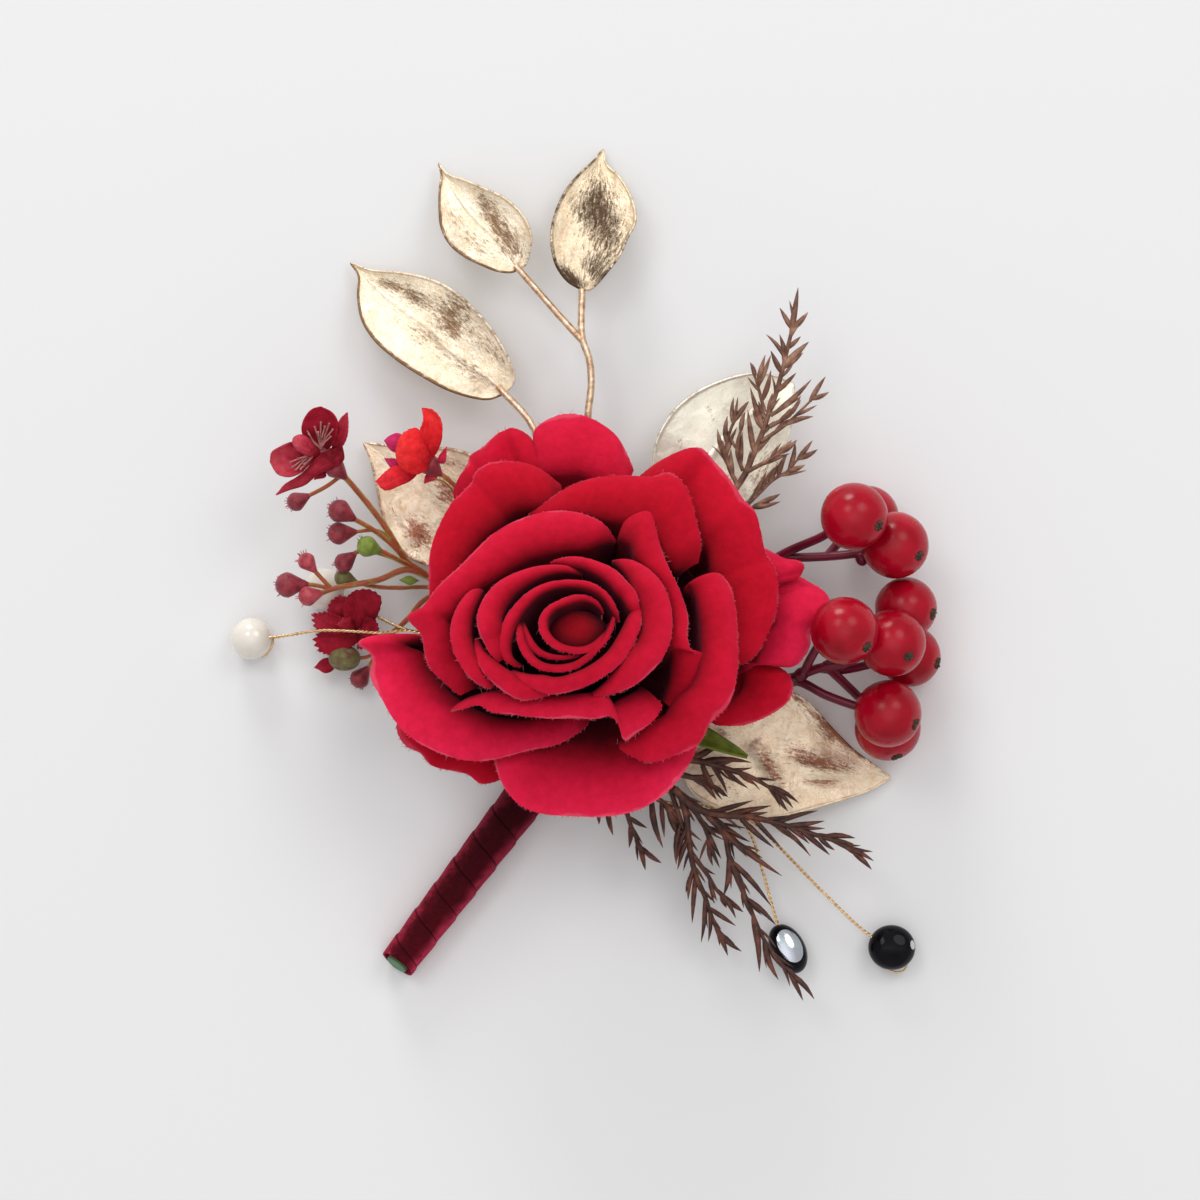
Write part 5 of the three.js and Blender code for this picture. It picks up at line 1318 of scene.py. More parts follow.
            (12.8, -9.8, 14.9, -12.8, 1.2), (15.5, -12.2, 14.6, -18.5, 1.2),
        ],
    },
}


def needle_route(foot, tip, width, draw):
    """A pointed needle: thin at its foot, widest a third of the way along, a little bent."""
    way = tip - foot
    aside = Vector((-way.y, way.x, draw.uniform(-0.5, 0.5) * way.length)) * draw.uniform(-0.07, 0.07)
    shape = ((0, 0.55), (0.16, 0.85), (0.36, 1.0), (0.6, 0.84), (0.82, 0.50), (1.0, 0.08))
    return [(*(foot + way * t + aside * math.sin(math.pi * t)), width * share) for t, share in shape]


def listed_needles(lines, needles, width, draw):
    """The needles that are listed. One that stands off its twig first gets a twiglet to its foot."""
    reach = 2.2
    knees = [point for line in lines for point in line]
    made = []
    for x0, y0, x1, y1, *wider in needles:
        foot = min(knees, key=lambda p: (p.x - x0) ** 2 + (p.y - y0) ** 2)
        if math.hypot(foot.x - x0, foot.y - y0) > reach:
            bend = Vector((x0, y0, foot.z))
            made.append([(*foot, 0.7 * width), (*bend, 0.6 * width)])
            foot = bend
        tip = Vector((x1, y1, foot.z + draw.uniform(-0.7, 1.3)))
        full = width * (wider[0] if wider else 1.0) * draw.uniform(0.88, 1.1)
        made.append(needle_route(foot, tip, full, draw))
    return made


def fine_shoots(line, width, spacing, draw):
    """Finer needles every few mm along a twig, to the left and to the right in turn."""
    made = []
    count = int(length_of(line) / spacing)
    for k in range(1, count):
        place = int(k * SPRIG_STEPS / count)
        way = (line[place] - line[place - 1]).normalized()
        way.rotate(Matrix.Rotation(math.radians(draw.uniform(13, 28)) * (1 if k % 2 else -1), 3, "Z"))
        tip = line[place] + way * draw.uniform(2.4, 4.0) + Vector((0, 0, draw.uniform(-0.5, 0.9)))
        made.append(needle_route(line[place], tip, width * draw.uniform(0.52, 0.70), draw))
    return made


def sprig(twigs, needles, width, spacing, seed):
    """Routes for the twigs, the needles and the finer shoots of one sprig."""
    draw = random.Random(seed)
    lines = [along(points(line), SPRIG_STEPS) for _, line in twigs]
    made = [stem_route(line, radius * 1.15, 24, 0.55 * radius) for radius, line in twigs]
    made += listed_needles(lines, needles, width, draw)
    for line in lines:
        made += fine_shoots(line, width, spacing, draw)
    return made


def upper_sprig(brown):
    bm = bmesh.new()
    root = (17, 26, 8)
    routes = [stem_route([*from_knot(55, 1.8), (9.5, 14, 4), root, (23.0, 35.0, 10.6)], 0.45, 30)]
    for start in ((24.2, 32.3, 9.6), (24.8, 31.9, 9.6)):
        routes.append(stem_route([root, (21, 30, 9), start], 0.3, 10))
    routes += sprig(**SPRIGS["brown_sprig_upper"], width=0.38, spacing=2.8, seed=11)
    add_stems(bm, routes)
    finished("brown_sprig_upper_needles", bm, [brown], "twig_brown", "brown_sprig_upper")


def lower_sprigs(brown):
    """A stem leads from the fork to every twig that doesn't begin there."""
    bm = bmesh.new()
    fork = Vector((13.5, -7, 8))
    near = 0.8
    routes = [stem_route([*from_knot(-28, 6.5), fork], 0.5, 16)]
    for _, line in SPRIGS["brown_sprigs_lower"]["twigs"]:
        start = Vector(line[0])
        if (start - fork).length > near:
            routes.append(stem_route([fork, fork.lerp(start, 0.5), start], 0.36, 8))
    routes += sprig(**SPRIGS["brown_sprigs_lower"], width=0.36, spacing=1.9, seed=21)
    add_stems(bm, routes)
    finished("brown_sprigs_lower_needles", bm, [brown], "twig_brown", "brown_sprigs_lower")


# ---------------------------------------------------------------- small blossoms and buds
BLOSSOMS = {
    "top": {
        "calyx": ((-33.6, 37.7, 13.4), (-32.4, 36.6, 12.9), 1.45),
        "heart": (-35.6, 40.0, 14.2),
        "petals": [
            # left edge, right edge, heights, rise, fold, flush, teeth
            ([(-35.4, 40.3), (-37.2, 41.2), (-38.2, 42.8), (-37.9, 44.5), (-36.8, 45.9), (-35.5, 46.3)],
             [(-35.4, 40.3), (-34.1, 40.8), (-33.2, 42.2), (-33.0, 43.7), (-33.8, 45.4), (-35.5, 46.3)],
             (14.2, 16.6), 0.2, 0.9, 0.0, 0),
            ([(-34.5, 40.0), (-33.8, 41.2), (-33.3, 43.1), (-32.8, 44.5), (-31.8, 45.5)],
             [(-34.5, 40.0), (-32.9, 40.5), (-32.0, 41.8), (-31.7, 43.6), (-31.8, 45.5)], (14.4, 16.2),
             0.4, 0.7, 0.25, 0.1),
            ([(-35.7, 39.9), (-37.0, 38.5), (-38.2, 37.2), (-39.9, 36.5), (-41.6, 36.9), (-42.7, 38.6)],
             [(-35.7, 39.9), (-37.4, 40.6), (-39.3, 41.4), (-41.3, 40.7), (-42.5, 39.9), (-42.7, 38.6)],
             (14.2, 15.2), 0.4, 1.0, 0.65, 0),
            ([(-35.7, 39.9), (-36.7, 39.3), (-37.9, 39.7), (-38.9, 40.3), (-39.5, 41.2)],
             [(-35.7, 39.9), (-36.8, 41.5), (-38.2, 42.4), (-39.3, 42.0), (-39.5, 41.2)], (15.0, 16.4),
             1.0, -0.6, 0.9, 0),
            ([(-32.6, 40.8), (-32.3, 38.9), (-34.0, 37.7), (-36.0, 36.9), (-37.9, 35.4), (-40.1, 34.7),
              (-42.0, 34.0)],
             [(-32.6, 40.8), (-34.5, 40.2), (-36.3, 39.3), (-37.5, 37.7), (-39.1, 36.4), (-40.8, 35.4),
              (-42.0, 34.0)],
             (15.4, 13.4), 0.9, -0.7, 0.3, 0),
            ([(-35.0, 37.5), (-36.2, 37.4), (-36.6, 36.2)], [(-35.0, 37.5), (-35.0, 36.6), (-36.6, 36.2)],
             (13.4, 13.0), 0.2, 0.2, 0.2, 0.1),
        ],
        "stamens": [
            ((-35.6, 40.5, 15.2), [(-37.7, 43.3), (-37.2, 42.5), (-36.4, 43.6), (-35.9, 42.8),
                                   (-35.5, 44.2), (-34.9, 43.6), (-34.3, 44.0), (-33.8, 43.2),
                                   (-34.1, 42.2)]),
            ((-36.3, 39.9, 15.0), [(-39.9, 38.5), (-39.6, 37.8), (-39.1, 37.4), (-38.4, 37.5),
                                   (-37.9, 38.2), (-38.7, 39.0), (-37.4, 38.6)]),
        ],
    },
    "side": {
        "calyx": ((-20.3, 38.2, 12.6), (-18.9, 37.0, 12.2), 1.5),
        "heart": (-21.6, 39.0, 12.9),
        "petals": [
            ([(-23.2, 40.4), (-24.5, 40.0), (-25.5, 40.1), (-26.3, 40.9), (-26.7, 41.7)],
             [(-23.2, 40.4), (-23.7, 41.9), (-24.8, 42.7), (-26.0, 42.3), (-26.7, 41.7)], (12.4, 13.2),
             0.7, -0.4, 1.0, 0),
            ([(-23.6, 37.6), (-25.2, 37.6), (-26.4, 39.0)], [(-23.6, 37.6), (-25.0, 38.9), (-26.4, 39.0)],
             (12.4, 12.8), 0.3, 0.2, 1.0, 0.5),
            ([(-20.1, 38.8), (-21.2, 41.0), (-21.6, 42.7), (-21.1, 44.5), (-21.3, 46.2)],
             [(-20.1, 38.8), (-18.9, 40.8), (-18.5, 42.8), (-18.8, 44.7), (-19.9, 45.9), (-21.3, 46.2)],
             (13.0, 14.6), 0.9, 0.8, 0.0, 0.12),
            ([(-21.6, 38.0), (-22.6, 36.4), (-24.6, 35.3), (-26.6, 34.7), (-27.9, 35.9)],
             [(-21.6, 38.0), (-23.6, 37.6), (-25.0, 38.1), (-26.2, 37.5), (-27.9, 35.9)], (13.0, 13.2),
             1.0, -0.5, 0.1, 0.1),
            ([(-20.1, 39.3), (-20.7, 37.6), (-22.1, 36.9), (-23.5, 37.2), (-24.7, 38.5), (-25.0, 40.3)],
             [(-20.1, 39.3), (-21.0, 41.7), (-22.1, 43.3), (-23.5, 42.9), (-24.5, 41.9), (-25.0, 40.3)],
             (14.0, 14.8), 1.5, -0.9, 0.0, 0.1),
            ([(-19.4, 38.6), (-18.9, 39.6), (-18.0, 40.6)], [(-19.4, 38.6), (-18.4, 38.5), (-18.0, 40.6)],
             (12.8, 13.4), 0.2, 0.2, 0.6, 0.3),
            ([(-19.9, 37.6), (-20.8, 36.8), (-21.0, 35.8)], [(-19.9, 37.6), (-19.4, 36.6), (-21.0, 35.8)],
             (12.2, 11.8), 0.2, 0.2, 0.5, 0.3),
        ],
        "stamens": [],
    },
    "low": {
        "calyx": ((-30.2, 14.2, 3.6), (-28.2, 13.8, 4.2), 1.1),
        "heart": (-30.9, 14.8, 4.2),
        "petals": [
            ([(-31.0, 14.9), (-31.4, 17.0), (-32.2, 18.9), (-33.4, 19.7)],
             [(-31.0, 14.9), (-32.9, 15.7), (-34.9, 17.0), (-34.7, 18.6), (-33.4, 19.7)], (4.0, 5.4),
             0.5, 0.6, 0.3, 0.35),
            ([(-30.6, 14.6), (-32.7, 16.8), (-32.4, 19.2), (-31.2, 20.4)],
             [(-30.6, 14.6), (-28.6, 16.1), (-27.7, 18.0), (-27.6, 19.4), (-29.2, 20.5), (-31.2, 20.4)],
             (4.4, 6.2), 0.4, 0.9, 0.1, 0.25),
            ([(-30.4, 14.4), (-33.0, 14.2), (-36.1, 14.5), (-36.8, 15.8), (-37.0, 17.0)],
             [(-30.4, 14.4), (-32.4, 16.1), (-34.6, 17.2), (-37.0, 17.0)], (4.6, 5.0), 0.7, 0.5, 0.3, 0.7),
            ([(-29.8, 13.9), (-32.1, 12.3), (-34.6, 11.5), (-36.2, 12.0)],
             [(-29.8, 13.9), (-32.4, 14.8), (-35.2, 14.8), (-36.7, 13.6), (-36.2, 12.0)], (4.8, 4.0),
             0.9, 0.4, 0.0, 0.7),
            ([(-30.2, 14.2), (-30.8, 12.4), (-29.4, 12.6), (-28.0, 13.6)],
             [(-30.2, 14.2), (-29.8, 16.6), (-28.3, 16.0), (-28.0, 13.6)], (4.8, 5.6), 0.5, 0.6, 0.0, 0.3),
            ([(-31.2, 15.0), (-32.4, 14.6), (-33.6, 15.6)], [(-31.2, 15.0), (-31.9, 17.2), (-33.6, 15.6)],
             (5.4, 6.4), 0.3, -0.6, 0.5, 0.3),
            ([(-34.2, 10.9), (-35.9, 10.7), (-37.2, 9.5)], [(-34.2, 10.9), (-34.5, 9.2), (-35.6, 8.7),
                                                            (-37.2, 9.5)],
             (3.0, 2.6), 0.5, 0.3, 0.4, 0),
        ],
        "stamens": [],
    },
}


def club(p, radius, tail=0.75):
    """Moves a ball's point so that the ball draws out to its stalk like a club."""
    back = max(0.0, -p.z / radius)
    narrow = 1 - 0.6 * back**1.4
    return Vector((p.x * narrow, p.y * narrow, p.z * (1.0 + tail * back)))


def blossom_petals(name, node, petals, fabric):
    bm = bmesh.new()
    flush = bm.verts.layers.float.new("flush")
    for k, (left, right, heights, rise, fold, tint, teeth) in enumerate(petals):
        flat = panel(left, right, heights, rise, fold, teeth, k + 1, 48)

        def place(u, v):
            p = flat(u, v)
            p.z += 0.22 * noise.noise((p.x * 0.8, p.y * 0.8, k)) + 0.10 * noise.noise((u * 6, v * 2, k))
            return p

        for vert in spread(bm, 22, 56, place, (4, 5)):
            vert[flush] = tint
    thicken(finished(name, bm, [fabric], "blossom_fabric", node), CLOTH_THICKNESS)


def blossom_middle(name, node, flower, burgundy, pink, draw):
    """The calyx behind a blossom, its heart, and its stamens where they show."""
    bm = bmesh.new()
    centre, root, radius = flower["calyx"]
    add_ball(bm, centre, radius, lambda p: club(p, radius, 0.7), Vector(centre) - Vector(root), 26, 18)
    add_ball(bm, flower["heart"], 1.5, lambda p: Vector((p.x, p.y, 0.5 * p.z)), (0.1, 0.1, 1), 24, 14)
    threads = []
    for foot, tips in flower["stamens"]:
        for x, y in tips:
            start, tip = Vector(foot), Vector((x, y, foot[2] + draw.uniform(1.0, 1.8)))
            middle = start.lerp(tip, 0.5) + Vector((draw.uniform(-0.2, 0.2), draw.uniform(-0.2, 0.2), 0.35))
            threads.append([(*start, 0.13), (*middle, 0.11), (*start.lerp(tip, 0.9), 0.12), (*tip, 0.17)])
    if threads:
        add_stems(bm, threads, material=1)
    finished(name, bm, [burgundy, pink], "spray_bud", node)


def blossoms(fabrics, pink, burgundy):
    for which, (name, flower) in enumerate(BLOSSOMS.items()):
        node = f"filler_blossom_{name}"
        blossom_petals(f"{node}_petals", node, flower["petals"], fabrics[name])
        blossom_middle(f"{node}_calyx", node, flower, burgundy, pink, random.Random(31 + which))


SPRAY_FORK, LOW_FORK = (-20.7, 22.5, 8), (-34.4, 20.7, 9)
SPRAY_STEMS = [
    # radius, route; then, for a long one, its steps and the radius of its end
    (0.56, [*from_knot(148, 6.5), (-13, 14, 7.2), SPRAY_FORK, (-23.6, 24.5, 9), (-25.2, 27, 10),
            (-26.7, 29.5, 10.8), (-29.8, 33.6, 11.8), (-32.5, 36.7, 12.8), (-33.4, 37.5, 13.3)], 70, 0.42),
    (0.30, [(-33.0, 36.6, 12.8), (-35, 35.2, 12.4), (-37.3, 34.0, 12.2), (-39.0, 33.2, 12)]),
    (0.36, [(-23.8, 24.8, 9.2), (-26.0, 27.2, 10.3), (-28.4, 29.1, 11.2), (-30.1, 30.1, 12),
            (-32.6, 31.5, 12.9)]),
    (0.28, [(-24.0, 25.2, 9.1), (-26.2, 28.0, 10.3), (-28.0, 29.0, 10.8), (-31.1, 28.8, 11),
            (-33, 28.6, 11.3)]),
    (0.38, [(-23.0, 23.9, 8.8), (-25.2, 25.0, 10.6), (-27.3, 26.1, 11.8), (-28.8, 26.6, 12.7)]),
    (0.52, [SPRAY_FORK, (-23.7, 23.5, 8.7), (-27.8, 22.0, 8.8), (-30.9, 21.4, 9),
            LOW_FORK, (-36.0, 20.1, 9.2), (-37.5, 19.8, 9.4)], 40, 0.36),
    (0.30, [LOW_FORK, (-36.4, 21.2, 9), (-38.2, 21.4, 9), (-40.4, 21.3, 9)]),
    (0.32, [LOW_FORK, (-36.7, 23.2, 9.3), (-37.6, 24.3, 9.4)]),
    (0.34, [(-25.2, 25.0, 10.4), (-27.2, 25.7, 10.6), (-29, 26.1, 10.2), (-30.9, 25.9, 9.6),
            (-32.4, 24.7, 9.1)]),
    (0.32, [(-17, 20.6, 7.4), (-21.3, 21.0, 7.4), (-25.0, 20.9, 7.5), (-28.5, 21.1, 7.5),
            (-32.6, 22.2, 7.2)]),
    (0.36, [SPRAY_FORK, (-17.2, 26, 9.2), (-15.2, 31, 10.8), (-15.8, 34.2, 11.4), (-17.4, 35.9, 11.8),
            (-19.9, 37.8, 12.4)]),
    (0.40, [(-15, 18.6, 7.4), (-18.5, 20.2, 7), (-21.3, 19.2, 6.4), (-23.8, 16.4, 5.4), (-26.0, 14.5, 4.6),
            (-28.2, 13.8, 4.2), (-30.0, 14.1, 3.8)]),
    (0.30, [(-27.4, 13.9, 4.2), (-28.4, 11.2, 3.8), (-29.5, 9.5, 3), (-30.5, 8.1, 2.7)]),
    (0.28, [(-28.4, 11.6, 3.9), (-29.6, 11.0, 4.2), (-31.4, 10.8, 4.5)]),
    (0.15, [(-20.4, 36.4, 12.2), (-18.6, 36.0, 12.4), (-17.5, 35.1, 12), (-16.8, 33.8, 11.4)]),
]

BURGUNDY, GREEN, PINK, OLIVE, LEAF_GREEN = range(5)  # the order of the buds' materials
SPRAY_BUDS = [
    # centre, radius, where its stalk comes from, material
    ((-39.2, 33.1, 12), 1.35, (-37.3, 34.0, 12.2), BURGUNDY),
    ((-33.0, 31.7, 13.0), 1.65, (-30.1, 30.1, 12), BURGUNDY),
    ((-33.2, 28.6, 11.4), 1.6, (-31.1, 28.8, 11), BURGUNDY),
    ((-29.1, 26.7, 12.9), 1.5, (-27.3, 26.1, 11.8), GREEN),
    ((-37.7, 19.7, 9.4), 1.4, (-36.0, 20.1, 9.2), PINK),
    ((-40.6, 21.3, 9), 1.8, (-38.2, 21.4, 9), BURGUNDY),
    ((-37.9, 24.6, 9.5), 1.25, (-36.7, 23.2, 9.3), PINK),
    ((-32.6, 24.5, 9.0), 1.4, (-30.9, 25.9, 9.5), BURGUNDY),
    ((-32.8, 22.3, 7.2), 1.3, (-30, 21.4, 7.4), OLIVE),
    ((-30.7, 7.9, 2.6), 1.4, (-29.5, 9.5, 3), BURGUNDY),
]
RIBBED_BUD = (-32.8, 10.8, 4.6)


def bristles(centre, radius, way, draw):
    """Short hairs on the far half of a bud."""
    hairs = []
    for _ in range(11):
        turn, lean = draw.uniform(0, TAU), draw.uniform(0.1, 1.3)
        out = facing(way, (0, 0, 0)) @ Vector((math.cos(turn) * lean, math.sin(turn) * lean, 1)).normalized()
        start = Vector(centre) + out * radius * 0.93
        hairs.append([(*start, 0.045), (*(start + out * draw.uniform(0.3, 0.7)), 0.015)])
    return hairs


def ribbed(p):
    """Moves a ball's point: nine ribs round its axis, and a longer axis."""
    rib = 1 + 0.05 * math.cos(9 * math.atan2(p.y, p.x))
    return Vector((p.x * rib, p.y * rib, p.z * 1.30))


def spray(stem, buds):
    bm = bmesh.new()
    add_stems(bm, [stem_route(rows, radius, *rest) for radius, rows, *rest in SPRAY_STEMS], 3)
    finished("filler_spray_stems", bm, [stem], "spray_stem", "filler_stems")

    bm = bmesh.new()
    draw = random.Random(41)
    for centre, radius, root, kind in SPRAY_BUDS:
        way = (Vector(centre) - Vector(root)).normalized()
        add_ball(bm, centre, radius, lambda p: club(p, radius), way, 24, 16, kind)
        if kind != OLIVE:
            add_stems(bm, bristles(centre, radius, way, draw), 0, PINK if kind == BURGUNDY else kind)
    add_ball(bm, RIBBED_BUD, 1.75, ribbed, (1, 0.03, 0.05), 54, 20, OLIVE)
    leaflet = panel(
        [(-22.0, 21.9), (-23.4, 22.6), (-24.9, 22.0)], [(-22.0, 21.9), (-23.3, 21.3), (-24.9, 22.0)],
        (7.9, 8.0), 0.4, -0.2)
    spread(bm, 10, 24, leaflet, (1, 3), material=LEAF_GREEN)
    thicken(finished("filler_spray_buds", bm, buds, "spray_bud", "filler_stems"), 0.06)


# ---------------------------------------------------------------- pearls, beads and their wires
# name: (wire, middle, route of the wire from the knot)
THREADED = {
    "pearl_outer": ("pearl_wire_outer", (-46.2, 13.6, 3.0), [
        *from_knot(162, 1.8), (-13, 7.4, 4.5), (-18.5, 12.8, 7.5), (-22.9, 14.7, 8), (-27.9, 14.5, 7.8),
        (-31.4, 14.7, 7.5),
        (-36.1, 14.8, 6.6), (-40.8, 14.1, 5.4), (-43.1, 13.8, 4.4)]),
    "pearl_inner": ("pearl_wire_inner", (-35.8, 20.7, 3.0), [
        *from_knot(143, 1.8), (-9, 8.4, 3.5), (-18, 13.4, 6.2), (-23.5, 14.8, 6.4), (-25.5, 15.5, 5.4),
        (-28.2, 16.8, 3.6),
        (-31.0, 18.6, 3.0), (-32.9, 19.6, 3.0)]),
    "bead_left": ("bead_wire_left", (30.7, -30.9, 2.6), [
        *from_knot(-62, 1.8), (8.5, -8.6, 2), (15.4, -10.3, 2.2), (20.5, -11.4, 2.6), (24.0, -12.6, 3),
        (25.6, -15.0, 3.2),
        (27.0, -19.5, 3.4), (29.0, -26.6, 3)]),
    "bead_right": ("bead_wire_right", (45.6, -30.7, 2.6), [
        *from_knot(-38, 1.8), (14.5, -9.0, 2.3), (20.7, -11.0, 2.7), (25.5, -12.6, 3.2), (28.1, -14.9, 3.6),
        (36, -23.0, 4),
        (42, -28.6, 3.2)]),
}

WIRE_ENDS = {
    # what shows of the wire's end where it comes out of its pearl or bead, from the centre
    "pearl_outer": [(2.6, 0.4, 0.6), (3.1, -0.1, 0.3), (3.02, -0.8, 0.2), (2.75, -1.45, 0.1),
                    (2.2, -2.2, 0.0), (1.3, -2.7, -0.2)],
    "bead_right": [(-0.6, -2.9, -0.6), (-0.3, -3.35, -0.6), (0.7, -3.65, -0.7), (1.7, -3.45, -0.6),
                   (2.2, -2.8, -0.5), (2.2, -1.8, -0.5)],
}

BEADS = {
    # half sizes, turn in degrees, and cuts of (direction, distance as a share of the bead's, material)
    "bead_left": ((2.5, 3.8, 2.6), 28, [((0.26, 0.14, 1.0), 0.74, 1)]),
    # bead_right's third cut wears the pale facet finish: a painted glint on its black glass
    "bead_right": ((3.4, 3.25, 2.6), -8, [
        ((0.02, 0.32, 1.0), 0.84, 0), ((0.08, -0.30, 1.0), 0.84, 0), ((0.96, 0.30, 0.50), 0.975, 1)]),
}


def twist(route, pitch=1.4, step=0.22):
    """Two wires wound round each other along a route."""
    line = points(route)
    length = length_of(line)
    count = max(int(length / step), 8)
    way = along(line, count)
    strands = [[], []]
    for k, p in enumerate(way):
        ahead = (way[min(k + 1, count)] - way[max(k - 1, 0)]).normalized()
        side = ahead.cross(UP).normalized()
        up = side.cross(ahead)
        turn = TAU * k * length / count / pitch
        for angle, strand in zip((turn, turn + math.pi), strands):
            around = (side * math.cos(angle) + up * math.sin(angle)) * WIRE_STRAND * 0.9
            strand.append((*(p + around), WIRE_STRAND))
    return strands


def drilled(p):
    """Moves a ball's point: a shallow pit where the wire goes in."""
    return p * (1 - 0.02 * bell(p.angle(UP), 0, 0.3))


def cut_bead(bm, centre, size, turn, cuts):
    """An oval bead with flat faces. Where its first two meet, a thin ridge takes the second material, the
    pale facet finish, as a painted highlight line.
    """
    bmesh.ops.create_uvsphere(bm, u_segments=40, v_segments=26, radius=1.0)
    directions = [Vector(direction).normalized() for direction, _, _ in cuts]
    flats = [cut_face(bm, way * cut[1], way, cut[2]) for way, cut in zip(directions[:2], cuts)]
    if len(flats) == 2:
        ridge = [edge for edge in flats[1].edges if flats[0] in edge.link_faces]
        bmesh.ops.bevel(bm, geom=ridge, offset=0.024, segments=1, affect="EDGES", material=1)
    for way, cut in zip(directions[2:], cuts[2:]):
        cut_face(bm, way * cut[1], way, cut[2])
    bmesh.ops.scale(bm, vec=size, verts=bm.verts)
    bmesh.ops.rotate(bm, matrix=Matrix.Rotation(math.radians(turn), 3, "Z"), verts=bm.verts)
    bmesh.ops.translate(bm, vec=centre, verts=bm.verts)
    bmesh.ops.recalc_face_normals(bm, faces=bm.faces)


def threaded(wire, lustre, glass, facet):
    for name, (wire_node, place, route) in THREADED.items():
        centre = Vector(place)
        inward = (centre - Vector(route[-1])).normalized()
        bm = bmesh.new()
        add_stems(bm, twist([*route, centre - inward]), 1)
        if name in WIRE_ENDS:
            add_stems(bm, [[(*(centre + Vector(point)), 0.15) for point in WIRE_ENDS[name]]], 1)
        finished(f"{wire_node}_twisted", bm, [wire], "gold_wire", wire_node)
        bm = bmesh.new()
        if name in BEADS:
            cut_bead(bm, centre, *BEADS[name])
            finished(f"{name}_cut", bm, [glass, facet], "bead_black", name)
        else:
            add_ball(bm, centre, PEARL_RADIUS, drilled, -inward, 48, 32)
            finished(f"{name}_ball", bm, [lustre], "pearl", name)


# ---------------------------------------------------------------- wrapped stem and knot
def on_stem(distance, across=0.0, height=0.0):
    """A point by its distance towards the rose along the wrapped stem, from over the knot."""
    c, s = math.cos(STEM_ANGLE), math.sin(STEM_ANGLE)
    return Vector((distance * c - across * s, distance * s + across * c, WRAP_CENTRE + height))


def cut_off(bm, distance, slope, upwards, lid=None):
    """Cuts a stem off at a distance along it, leaning back by slope. A lid of that material closes it."""
    normal = (on_stem(1.0) - on_stem(0.0)) * (1 if upwards else -1) + Vector((0, 0, slope))
    cut_face(bm, on_stem(distance), normal, lid)


def squared(value, power=0.8):
    """A cosine or sine for a circle that is drawn out towards a square."""
    return math.copysign(abs(value) ** power, value)


def ribbon(velvet):
    start = -STEM_LENGTH - 7.8

    def wound(u, v):
        angle = TAU * WRAP_TURNS * u
        distance = start + WRAP_PITCH * (WRAP_TURNS * u + WRAP_OVERLAP * v)
        grow = 1 + 0.075 * v - 0.05 * bell(v, 1.0, 0.05) + 0.012 * noise.noise((angle * 2, v * 3, 0))
        half = WRAP_HALF + WRAP_FLARE * (distance + STEM_LENGTH)
        return on_stem(
            distance, -squared(math.cos(angle)) * half * grow, squared(math.sin(angle)) * WRAP_HALF * grow)

    bm = bmesh.new()
    uv_size = (WRAP_TURNS * TAU * 2.6, 5.1)
    spread(
        bm, int(WRAP_TURNS * 56), 14, wound, uv_size, "flank",
        lambda u, v: -math.cos(TAU * WRAP_TURNS * u))
    cut_off(bm, -STEM_LENGTH + 0.65, 0.28, False)
    cut_off(bm, -KNOT_RADIUS - 0.3, 0, True)
    thicken(finished("ribbon_wrap_velvet", bm, [velvet], "ribbon_velvet", "ribbon_wrap"), RIBBON_THICKNESS)


def rose_stem(green, cut_green):
    """The rose's stem, from the calyx through the knot and the ribbon to its slanting cut."""
    cup_foot = CALYX_TOP - CUP_DEPTH
    route = [on_stem(distance) for distance in (-STEM_LENGTH - 1.5, -30, -18, -7, -2)]
    route += [(0.4, 1.4, 3.7), (1.2, 3.4, 4.7), in_rose(0, 0, cup_foot - 3), in_rose(0, 0, cup_foot - 0.3)]
    bm = bmesh.new()
    add_stems(bm, [stem_route(route, STEM_RADIUS, 60)], 4)
    bmesh.ops.remove_doubles(bm, verts=bm.verts, dist=0.001)
    cut_off(bm, -STEM_LENGTH + 0.42, 0.34, False, 1)
    finished("rose_stem_core", bm, [green, cut_green], "green_plastic", "rose_stem")


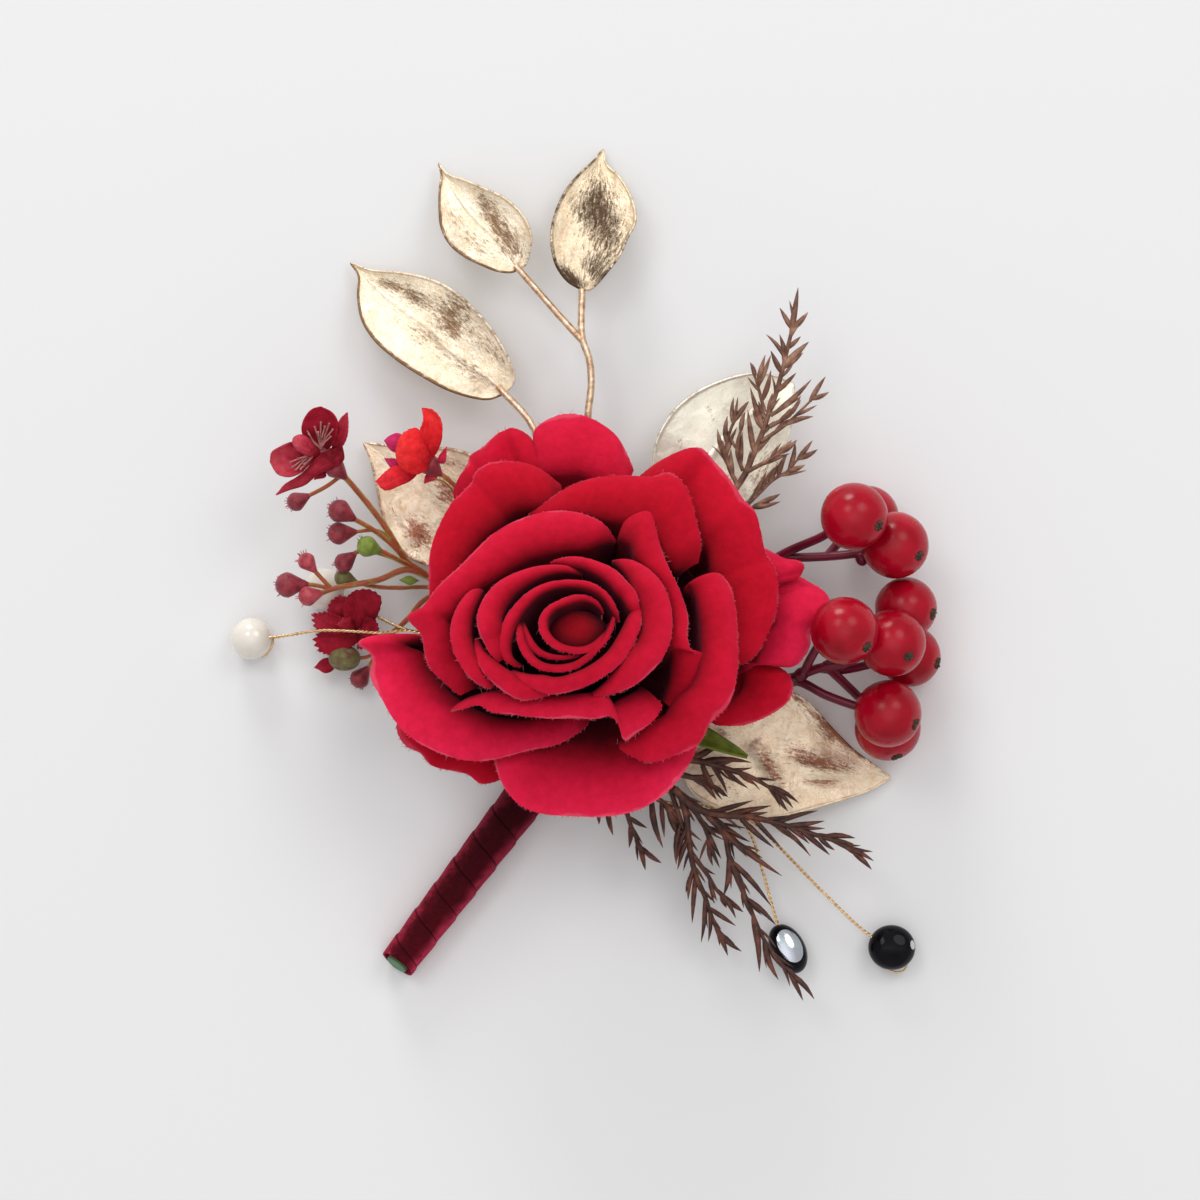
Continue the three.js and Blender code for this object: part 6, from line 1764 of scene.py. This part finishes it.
def knot(tape):
    def wound(p):
        level = p.z + KNOT_HEIGHT
        lap = 0.16 * ((level * 0.8 + math.atan2(p.y, p.x) / TAU) % 1.0)
        out = 1 + (lap - 0.1) / KNOT_RADIUS
        return Vector((p.x * out, p.y * out, max(p.z, -KNOT_HEIGHT)))

    bm = bmesh.new()
    add_ball(bm, (0, 0, KNOT_HEIGHT), KNOT_RADIUS, wound, UP, 60, 44)
    finished("stem_binding_tape", bm, [tape], "binding_tape", "stem_binding")


camera()
studio()
rose(rose_fabric(), frayed_thread())
calyx(green_plastic())
gold_leaves(gold_stem())
berries(berry_gloss(), berry_star(), berry_stalk())
upper_sprig(twig_brown("twig_brown_upper", (0.075, 0.029, 0.018), (0.20, 0.088, 0.052), (0.42, 0.23, 0.15)))
lower_sprigs(
    twig_brown("twig_brown_lower", (0.026, 0.008, 0.006), (0.074, 0.021, 0.012), (0.21, 0.062, 0.032)))
burgundy = bud_skin("bud_burgundy", (0.13, 0.006, 0.014), (0.35, 0.030, 0.048))
crimson = ((0.12, 0.002, 0.006), (0.29, 0.005, 0.017), (0.42, 0.011, 0.032))
blossoms(
    {
        "top": blossom_fabric(
            "blossom_top", crimson, ((0.22, 0.006, 0.014), (0.50, 0.032, 0.058), (0.62, 0.09, 0.12))),
        "side": blossom_fabric(
            "blossom_side", ((0.50, 0.008, 0.016), (0.80, 0.018, 0.022), (0.84, 0.040, 0.038)),
            ((0.30, 0.006, 0.040), (0.56, 0.018, 0.10), (0.66, 0.04, 0.16))),
        "low": blossom_fabric(
            "blossom_low", crimson, ((0.16, 0.003, 0.008), (0.38, 0.014, 0.034), (0.50, 0.05, 0.08))),
    },
    bud_skin("stamen_pink", (0.24, 0.05, 0.05), (0.56, 0.22, 0.20)),
    burgundy,
)
green = bud_skin("bud_green", (0.10, 0.16, 0.010), (0.26, 0.32, 0.04))
pink = bud_skin("bud_pink", (0.34, 0.018, 0.036), (0.60, 0.10, 0.12))
olive = bud_skin("bud_olive", (0.13, 0.030, 0.022), (0.17, 0.19, 0.050))
spray(spray_stem(), [burgundy, green, pink, olive, green])
threaded(gold_wire(), pearl_lustre(), bead_glass(), bead_facet())
ribbon(ribbon_velvet())
rose_stem(stem_green(), cut_stem_green())
knot(binding_tape())

bpy.context.scene.view_settings.view_transform = "Standard"
